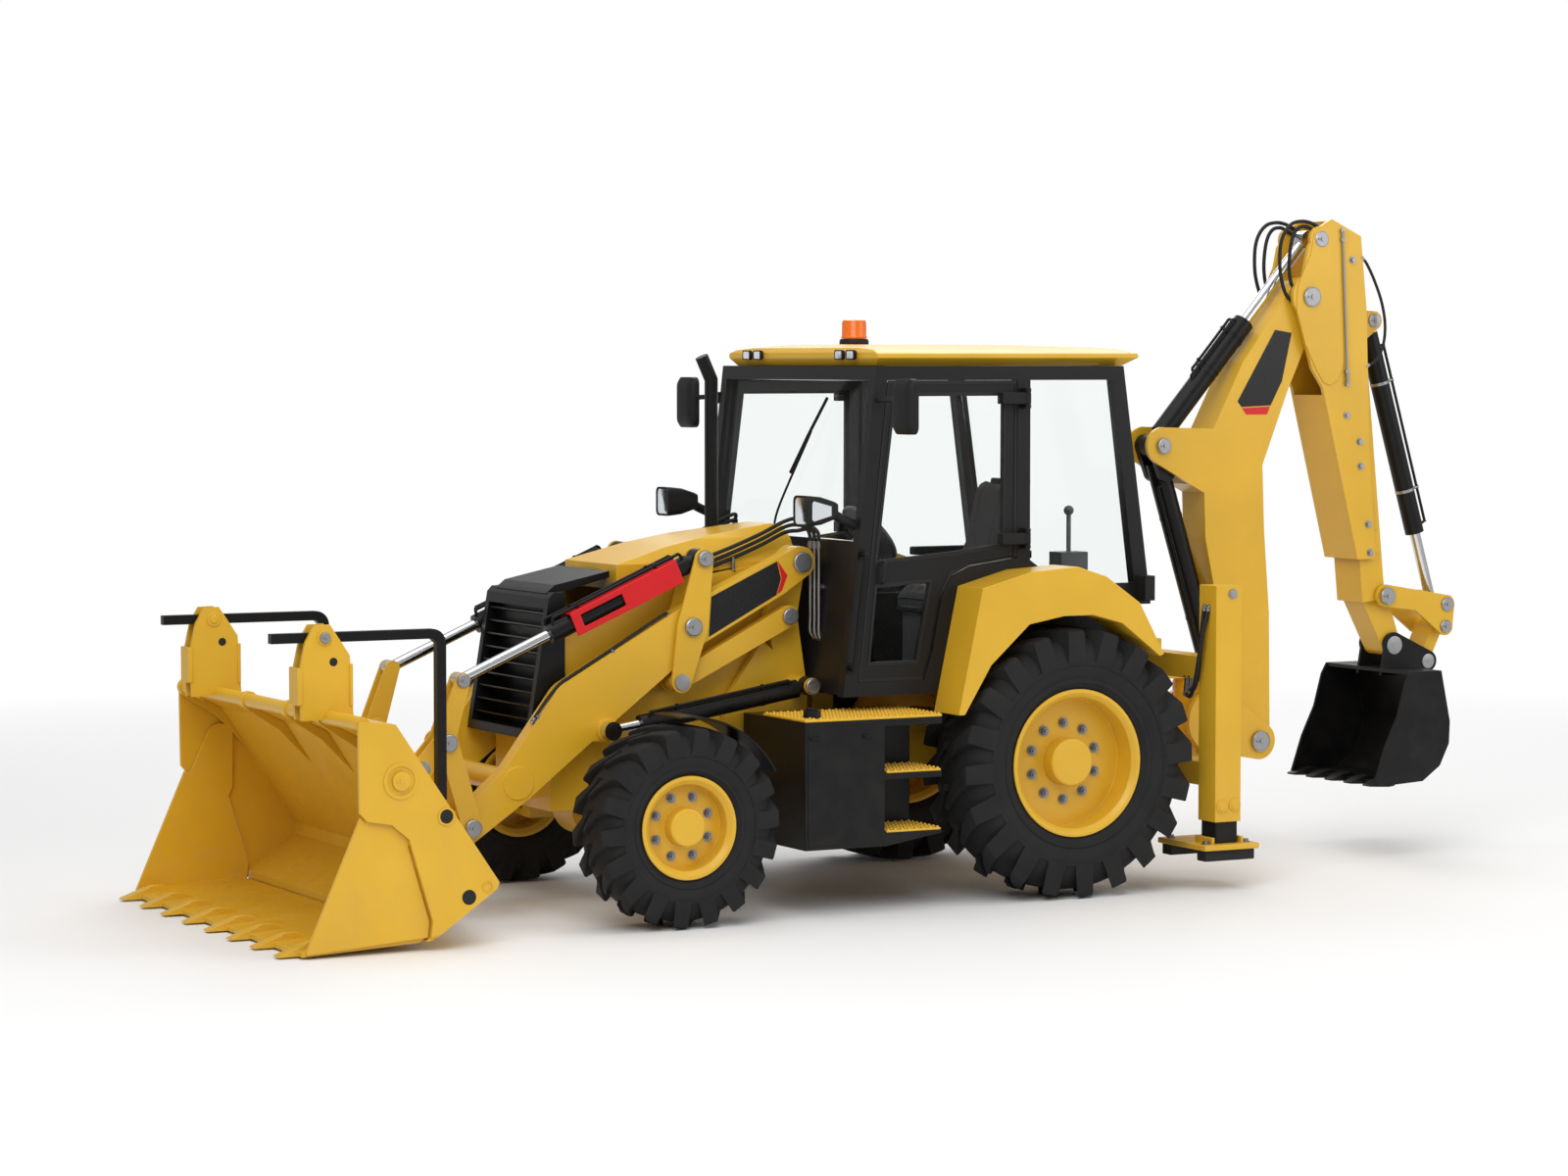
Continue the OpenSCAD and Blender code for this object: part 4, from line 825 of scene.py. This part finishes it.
# hoses and pipes; each run is clipped to the one body that it rides on
# clips: run point, and the step from there to what carries it
hoseRuns = {
    "stickHead": {"body": "stick", "radius": 10, "paint": "hose", "runs": [
        [(x, 119, z) for x, z in ((-2130, 3392), (-2086, 3412), (-2040, 3430), (-1985, 3436), (-1925, 3422), (-1878, 3376),
                                  (-1852, 3310), (-1846, 3220), (-1856, 3130), (-1890, 3040), (-1952, 2990))],
        [(x, 119, z) for x, z in ((-2120, 3360), (-2066, 3388), (-2016, 3408), (-1965, 3398), (-1930, 3350), (-1912, 3270),
                                  (-1908, 3180), (-1922, 3100), (-1958, 3060))]],
        "clips": [((-1952, 119, 2990), (0, 14, 0)), ((-1958, 119, 3060), (0, 14, 0)), ((-2120, 119, 3366), (0, 14, 0))]},
    "stickBack": {"body": "stick", "radius": 8, "paint": "hose", "runs": [
        [(x, 142, z) for x, z in ((-2362, 3250), (-2400, 3215), (-2455, 3120), (-2505, 3000), (-2528, 2880), (-2516, 2770),
                                  (-2470, 2690), (-2400, 2652))]],
        "clips": [((-2372, 142, 3242), (14, 0, 4)), ((-2412, 142, 2657), (18, 0, 0))]},
    "towerPipes": {"body": "chassis", "radius": 9, "paint": "silver", "runs": [
        [(1130, y, 1296), (1146, y, 1302), (x, y, 1340), (x, y, 1420), (x, y, 1600), (x, y, 1770)]
        for x, y in ((1172, 408), (1164, 438), (1156, 468))],
        "clips": [((1172, 408, 1560), (-42, 0, 0)), ((1164, 438, 1560), (-34, 0, 0)), ((1156, 468, 1560), (-26, 0, 0))]},
    "towerHoses": {"body": "chassis", "radius": 10, "paint": "hose", "runs": [
        [(x, y, 1764), (x, y, 1800), (x + 6, y - 20, 1846), (1206, in0 + 24, 1868 + up), (1270, in0, 1858 + up),
         (1400, in0, 1800 + up), (1560, in0, 1738 + up), (1740, in0, 1678 + up), (1800, in0, 1662 + up)]
        for x, y, in0, up in ((1172, 408, 318, -28), (1164, 438, 318, 0), (1156, 468, 318, 28))],
        "clips": [((1560, 318, 1716), (0, 0, -70)), ((1800, 318, 1640), (0, 0, -30))]},
    "armPipe": {"body": "loader_arms", "radius": 8, "paint": "hose", "runs": [
        [(x, 472, z) for x, z in ((1985, 1430), (2000, 1454), (2040, 1438), (2300, 1290), (2520, 1166), (2580, 1128),
                                  (2640, 1064), (2700, 986), (2722, 952))]],
        "clips": [((2300, 472, 1290), (-8, 0, -14)), ((2700, 472, 986), (-12, 0, -12))]},
    "frameHose": {"body": "chassis", "radius": 11, "paint": "hose", "runs": [
        [(-786, 1004, 1440), (-776, 1004, 1400), (-766, 1002, 1300), (-764, 990, 1180), (-772, 960, 1080), (-790, 900, 1010),
         (-812, 830, 1005)],
        [(-786, 1040, 1440), (-772, 1040, 1390), (-748, 1034, 1290), (-740, 1016, 1170), (-748, 970, 1050), (-776, 890, 975),
         (-812, 790, 978)]],
        "clips": [((-786, 1004, 1440), (-8, 0, 0)), ((-786, 1040, 1440), (-8, 0, 0)), ((-812, 830, 1005), (-8, 0, 66)),
                  ((-812, 790, 978), (-8, 0, 92))]},
}
# pipes beside a cylinder: body, base pin, rod pin, the cylinder's place in width, its radius,
# first and last length, how far up, and how far to the side
barrelPipes = {
    "tilt": ("tilt_barrels", (1811, 1719), (3083, 1168), 440, 48, 90, 850, 72, 24),
    "tiltInner": ("tilt_barrels", (1811, 1719), (3083, 1168), 440, 48, 120, 870, 72, -24),
    "lift": ("lift_barrels", (1254, 1079), (2334, 902), 540, 45, 110, 900, 52, 30),
    "boom": ("boom_barrel", (-1114, 2234), (-1540, 890), 0, 60, 210, 1150, -58, 44),
    "stick": ("stick_barrel", (-1114, 2234), (-2092, 3341), 0, 58, 420, 850, 72, 20),
    "stickInner": ("stick_barrel", (-1114, 2234), (-2092, 3341), 0, 58, 470, 850, 72, -20),
    "hoe": ("hoe_barrel", (-2497, 2905), (-2962, 1342), 0, 52, 150, 1180, 66, 24),
}


def buildHoses():
    for name, group in hoseRuns.items():
        r = group["radius"] / 1000

        def tubes(form, sign):
            for run in group["runs"]:
                addTube(form, smoothPath([at(x, sign * y, z) for x, y, z in run]), r)
        addPiece(name, tubes, group["body"], group["paint"], smooth=60, mirrored=True)

        def clips(form, sign):
            for run in group["runs"]:  # crimped ends
                for ends in (run[:2], run[:-3:-1]):
                    a, b = (at(x, sign * y, z) for x, y, z in ends)
                    out = (b - a).normalized()
                    addRod(form, a - out * 0.004, a + out * 0.026, r * 1.3, 16)
                    addRod(form, a + out * 0.004, a + out * 0.014, r * 1.6, 6)
            for (x, y, z), (dx, dy, dz) in group["clips"]:
                a, b = at(x, sign * y, z), at(x + dx, sign * (y + dy), z + dz)
                addRod(form, a, b, r * 1.1, 16)
                addRod(form, b - (b - a).normalized() * 0.006, b, r * 1.8, 16)
        addPiece(name + "Clips", clips, group["body"], "steel", smooth=30, mirrored=True)
    for name, (body, base, eye, middle, tube, first, last, up, aside) in barrelPipes.items():
        line = (Vector(eye) - Vector(base)).normalized()
        rise = Vector((-line.y, line.x)) if line.x > 0 else Vector((line.y, -line.x))
        upward = math.copysign(1, up)
        hands = (1, -1) if middle else (1,)

        def spot(d, u, y):
            q = Vector(base) + line * d + rise * u
            return at(q.x, y, q.y)

        def pipe(form):
            for sign in hands:
                y, u = sign * (middle + aside), tube * 0.55 * upward
                half = [(first, u), (first + 12, up * 0.97), (first + 50, up), ((first + last) / 2, up)]
                half += [(first + last - d, h) for d, h in half[2::-1]]
                addTube(form, smoothPath([spot(d, h, y) for d, h in half]), 0.008)
        addPiece(name + "Pipe", pipe, body, "black", smooth=60)

        def bands(form):
            for sign in hands:
                for k in (0.2, 0.8):
                    d = first + (last - first) * k
                    section = ((-8, tube - 3), (-8, tube + 2), (8, tube + 2), (8, tube - 3))
                    ringSweep(form, [[spot(d + e, r * math.cos(a), sign * middle + r * math.sin(a)) for a in turns(40)]
                                     for e, r in section], caps=False)
                    addRod(form, spot(d, tube * 0.85 * upward, sign * (middle + aside * 0.9)),
                           spot(d, up + 11 * upward, sign * (middle + aside)), 0.009, 12)
        addPiece(name + "Bands", bands, body, "silver" if name == "hoe" else "black", smooth=30)


buildHoses()
print("hoses built")

# seat: cushion and back blown up as cloth, with sewn channels and a piped edge
# pads: outline in side view, half width, fill, height below which the pad rests flat
seatPads = {"voxel": 0.008, "pressure": 4.0, "cap": 0.024, "frames": 20, "channel": 0.007, "channelWide": 0.010,
            "channelPlace": 0.00045, "piping": 0.0045,
            "cushion": ([(-104, 1396), (-110, 1490), (-90, 1500), (300, 1500), (344, 1486), (350, 1420), (330, 1396)],
                        224, 0.85, 1.41),
            "back": ([(-112, 1530), (-220, 2040), (-206, 2064), (-178, 2066), (-158, 2050), (-26, 1560), (-34, 1530)],
                     214, 0.8, 1.0)}
padSections = ((-1, 0.82), (-0.97, 0.95), (-0.88, 1.0), (0.88, 1.0), (0.97, 0.95), (1, 0.82))


def softPad(name, outline, half, fill, flatBelow):
    def build(form):
        mid = sum((Vector(q) for q in outline), Vector((0, 0))) / len(outline)
        ringSweep(form, [[at(mid.x + (x - mid.x) * k, y * half, mid.y + (z - mid.y) * k) for x, z in outline]
                         for y, k in padSections])
    piece = bpy.data.objects.new(name, meshOf(name, build))
    scene = bpy.context.scene
    scene.collection.objects.link(piece)
    remesh = piece.modifiers.new("evenGrid", "REMESH")
    remesh.mode = "VOXEL"
    remesh.voxel_size = seatPads["voxel"]
    piece.data = bpy.data.meshes.new_from_object(piece.evaluated_get(bpy.context.evaluated_depsgraph_get()))
    piece.modifiers.clear()
    rest = [v.co.copy() for v in piece.data.vertices]
    moved = rest
    cloth = piece.modifiers.new("blown", "CLOTH")
    cloth.settings.use_pressure = True
    cloth.settings.uniform_pressure_force = seatPads["pressure"]
    cloth.settings.effector_weights.gravity = 0
    cloth.point_cache.frame_end = seatPads["frames"]
    for step in range(1, seatPads["frames"] + 1):
        scene.frame_set(step)
    blown = piece.evaluated_get(bpy.context.evaluated_depsgraph_get()).to_mesh()
    moved = [v.co.copy() for v in blown.vertices]
    piece.modifiers.clear()
    scene.frame_set(1)
    for v, a, b in zip(piece.data.vertices, rest, moved):
        step = b - a
        if step.length > seatPads["cap"]:
            step = step.normalized() * seatPads["cap"]
        if a.z < flatBelow:
            step = Vector((step.x * 0.3, step.y * 0.3, 0))
        sewn = sum(math.exp(-((a.y - y * half * seatPads["channelPlace"]) / seatPads["channelWide"]) ** 2) for y in (-1, 1))
        v.co = a + step - v.normal * seatPads["channel"] * (sewn if a.z >= flatBelow else 0)
    finer = piece.modifiers.new("finer", "SUBSURF")
    finer.levels = finer.render_levels = 1
    for face in piece.data.polygons:
        face.use_smooth = True
    piece.data.materials.append(paints["seat"])
    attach(piece, "chassis")
    return piece


def edgePiping(name, piece, normal):
    # loop round the widest line of a pad
    points = [v.co.copy() for v in piece.data.vertices]
    middle = sum(points, Vector()) / len(points)
    normal = Vector(normal).normalized()
    across = Vector((0, 1, 0))
    along = normal.cross(across)
    reach = {}
    for q in points:
        d = q - middle
        if abs(d.dot(normal)) < seatPads["voxel"] * 0.9:
            slot = round(math.degrees(math.atan2(d.dot(across), d.dot(along))) / 6) % 60
            if slot not in reach or d.length > (reach[slot] - middle).length:
                reach[slot] = q
    loop = [reach[k] for k in sorted(reach)]

    def build(form):
        addTube(form, smoothPath(loop + loop[:1], 3), seatPads["piping"], 8)
    addPiece(name, build, "chassis", "plastic", smooth=60)


def buildSeat():
    cushion = softPad("seatCushion", *seatPads["cushion"])
    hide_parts("seat")
    edgePiping("cushionPiping", cushion, (0, 0, 1))
    edgePiping("backPiping", softPad("seatBack", *seatPads["back"]), (0.98, 0, 0.2))

    def shell(form):
        boxAt(form, (-118, -220, 1383), (330, 220, 1400))
        sidePlate(form, [(-116, 1383), (-246, 2070), (-226, 2072), (-92, 1383)], -190, 190)
        for sign in (1, -1):  # armrests
            boxAt(form, (-160, 180, 1640), (-120, 300, 1680), sign)
            boxAt(form, (-170, 262, 1668), (190, 326, 1712), sign)
    addPiece("seatShell", shell, "chassis", "plastic", bevel=0.008)


buildSeat()
print("seat built")

# small parts: tread studs, bolts, black discs painted as hole shade, ribs, wiper, latches
studGrid = {"pitch": 38, "edge": 8,
            "plates": [((806, 650), (1554, 1076), 964.3), ((812, 776), (1104, 1076), 697.3),
                       ((812, 776), (1104, 1076), 407.3)]}
bucketParts = {"ribs": (-1180, -285, 285, 722), "ribHalf": 8,
               "rib": [(3560, 732), (3700, 940), (3860, 1020), (3885, 1030), (3900, 1010), (3728, 900)],
               "sideHole": (3483, 616), "pocket": (3373, 239), "eye": (3281, 284), "clamPivot": (3706, 789),
               "collars": ((-1180, 16), (-941, 30), (-285, 20), (285, 20), (504, 30), (722, 20)),
               "tube": (3880, 1050), "tubeRing": (33, 44), "sillHalf": 1190,
               "sill": [(3500, 80), (3556, 64), (3560, 54), (3572, 50), (3572, 45), (3548, 44), (3490, 76)],
               "adapter": [(3985, 38), (4050, 74), (4112, 72), (4140, 58), (4060, 30)],
               "adapterHalf": 22, "teeth": 8, "toothPitch": 310}
forkParts = {"sides": ((695, -1), (795, 1)), "boss": (3905, 1418), "hole": (3862, 1306),
             "front": ((4016, 688, 1110), (4040, 802, 1284)), "rear": ((3768, 688, 1100), (3784, 802, 1296))}
hoeTooth = {"count": 5, "pitch": 176, "half": 36,
            "outline": [(-2440, 408), (-2400, 428), (-2350, 420), (-2272, 394), (-2272, 385), (-2400, 378), (-2440, 382)],
            "cutter": [(-2420, 384), (-2420, 424), (-2318, 402), (-2318, 388)]}
stickParts = {"bolts": [(-2300, 3231), (-2356, 2246), (-2365, 2113), (-2417, 1795), (-2432, 1640)],
              "rod": [(-2224, 3340), (-2259, 2626)], "rodEnds": [(-2222, 3388), (-2263, 2560)], "disc": (-2268, 2390)}
legParts = {"legPins": (((-885, 1505, 0.026),), "silver"),
            "legBosses": (((-905, 430, 0.034), (-828, 424, 0.034)), "yellow")}
wiper = {"hub": (1104, -120, 1826), "elbow": (1096, -60, 1960), "tip": (1062, 210, 2330),
         "blade": ((1084, 30, 2120), (1040, 340, 2500))}
boxLid = [(1130, 350), (1130, 925), (1545, 925), (1545, 350)]


def peg(form, place, y0, y1, sign, *shape):
    # rod across the machine at a place in side view
    x, z = place
    addRod(form, at(x, sign * y0, z), at(x, sign * y1, z), *shape)


def spread(count, pitch):
    return [(i - (count - 1) / 2) * pitch for i in range(count)]


def buildSmallParts():
    def studs(form, sign):
        edge = studGrid["edge"]
        for (x0, y0), (x1, y1), z in studGrid["plates"]:
            nx, ny = int((x1 - x0) / studGrid["pitch"]), int((y1 - y0) / studGrid["pitch"])
            for i in range(nx + 1):
                for j in range(ny + 1):
                    x = x0 + edge + (x1 - x0 - 2 * edge) * i / nx
                    y = y0 + edge + (y1 - y0 - 2 * edge) * j / ny
                    addRod(form, at(x, sign * y, z - 1), at(x, sign * y, z + 7), 0.009, 8, 0.006)
    addPiece("treadStuds", studs, "chassis", "yellow", smooth=30, mirrored=True)

    def stickBolts(form):
        for sign in (1, -1):
            for place in stickParts["bolts"]:
                peg(form, place, 154, 158, sign, 0.021, 20)
                peg(form, place, 157, 168, sign, 0.014, 6)
        (xa, za), (xb, zb) = stickParts["rod"]
        addRod(form, at(xa, 168, za), at(xb, 168, zb), 0.007, 14)
        for place in stickParts["rodEnds"] + stickParts["rod"]:
            peg(form, place, 153, 174, 1, 0.013, 16)
        for (a, c), (b, d) in zip(stickParts["rodEnds"], stickParts["rod"]):
            addRod(form, at(a, 168, c), at(b, 168, d), 0.010, 14)
        peg(form, stickParts["disc"], 153, 160, 1, 0.020, 24)
        peg(form, stickParts["disc"], 159, 168, 1, 0.011, 6)
    addPiece("stickFasteners", stickBolts, "stick", "silver", smooth=30)

    def ribs(form):
        for y in bucketParts["ribs"]:
            sidePlate(form, bucketParts["rib"], y - bucketParts["ribHalf"], y + bucketParts["ribHalf"])
        x, z = bucketParts["tube"]
        inner, outer = bucketParts["tubeRing"]
        for y, w in bucketParts["collars"]:
            ringSweep(form, [sideRing(x, y + v, z, r, 28) for v, r in
                             ((-w, inner), (-w, outer), (w, outer), (w, inner))], caps=False)
        sidePlate(form, bucketParts["sill"], -bucketParts["sillHalf"], bucketParts["sillHalf"])
    addPiece("bucketRibs", ribs, "loader_bucket", "yellow", bevel=0.003)

    def rings(form, sign):
        for part, r in (("sideHole", 42), ("eye", 26), ("clamPivot", 84)):
            x, z = bucketParts[part]
            ringSweep(form, [sideRing(x, sign * y, z, q, 40) for q, y in
                             ((r, 1216), (r, 1222), (r * 0.8, 1222), (r * 0.8, 1216))], caps=False)
    addPiece("bucketRings", rings, "loader_bucket", "yellow", smooth=30, mirrored=True)

    # black rubber discs painted as the shade inside the bucket's side hole and low pocket
    def holeShadeDiscs(form, sign):
        for part, r in (("sideHole", 0.033), ("pocket", 0.036)):
            peg(form, bucketParts[part], 1216, 1218, sign, r, 32, r * 0.95)
            peg(form, bucketParts[part], 1217, 1218.6, sign, r * 0.6, 32, r * 0.5)
    addPiece("bucketHoleShades", holeShadeDiscs, "loader_bucket", "hose", smooth=30, mirrored=True)

    def adapters(form):
        for y in spread(bucketParts["teeth"], bucketParts["toothPitch"]):
            sidePlate(form, bucketParts["adapter"], y - bucketParts["adapterHalf"], y + bucketParts["adapterHalf"])
    addPiece("toothAdapters", adapters, "bucket_clam", "yellow", bevel=0.004)

    def carriers(form, sign):
        boxAt(form, *forkParts["front"], sign)
        boxAt(form, *forkParts["rear"], sign)
        for y, out in forkParts["sides"]:
            peg(form, forkParts["boss"], y, y + out * 6, sign, 0.036, 32)
            peg(form, forkParts["boss"], y + out * 5, y + out * 12, sign, 0.022, 24, 0.019)
    addPiece("forkCarrierParts", carriers, "loader_bucket", "yellow", bevel=0.003, mirrored=True)

    # black discs painted as the shade inside the fork carrier holes
    def carrierHoleShades(form, sign):
        for y, out in forkParts["sides"]:
            peg(form, forkParts["hole"], y, y + out * 1.5, sign, 0.020, 28, 0.019)
            peg(form, forkParts["hole"], y, y + out * 1.9, sign, 0.012, 20)
    addPiece("carrierHoleShades", carrierHoleShades, "loader_bucket", "hose", smooth=30, mirrored=True)

    def hoeTeeth(form):
        for y in spread(hoeTooth["count"], hoeTooth["pitch"]):
            sidePlate(form, hoeTooth["outline"], y - hoeTooth["half"], y + hoeTooth["half"])
        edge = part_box("hoe_bucket")[1].y * 1000
        for sign in (1, -1):
            sidePlate(form, hoeTooth["cutter"], edge - 60, edge - 2, sign)
    addPiece("hoeTeeth", hoeTeeth, "hoe_bucket", "black", bevel=0.004)

    for name, (spots, paint) in legParts.items():
        def legPins(form, sign):
            for x, z, r in spots:
                peg(form, (x, z), 1104, 1110, sign, r, 28)
                peg(form, (x, z), 1109, 1115, sign, r * 0.75, 28, r * 0.65)
        addPiece(name, legPins, "chassis", paint, smooth=30, mirrored=True)

    def wiperArm(form):
        hub, elbow, tip = (at(*wiper[part]) for part in ("hub", "elbow", "tip"))
        addRod(form, hub - Vector((0.03, 0, 0)), hub + Vector((0.012, 0, 0)), 0.022, 20)
        addTube(form, smoothPath([hub, elbow, tip]), 0.006)
        a, b = (at(*q) for q in wiper["blade"])
        addTube(form, [a, (a + b) / 2 + Vector((0.004, 0, 0)), b], 0.008)
    addPiece("wiper", wiperArm, "chassis", "plastic", smooth=50)

    def latches(form, sign):
        for x in (1190, 1480):
            boxAt(form, (x, 1080, 860), (x + 60, 1086, 890), sign)
            boxAt(form, (x + 8, 1085, 866), (x + 52, 1096, 878), sign)
        sidePlate(form, boxLid, 1079, 1083, sign)
        cap = [at(1480, sign * 1000, z) for z in (962, 1000, 1012)]
        addRod(form, cap[0], cap[1], 0.045, 32, 0.042)
        addRod(form, cap[1], cap[2], 0.030, 10)
    addPiece("boxLids", latches, "chassis", "black", bevel=0.003, mirrored=True)


buildSmallParts()
print("small parts built")
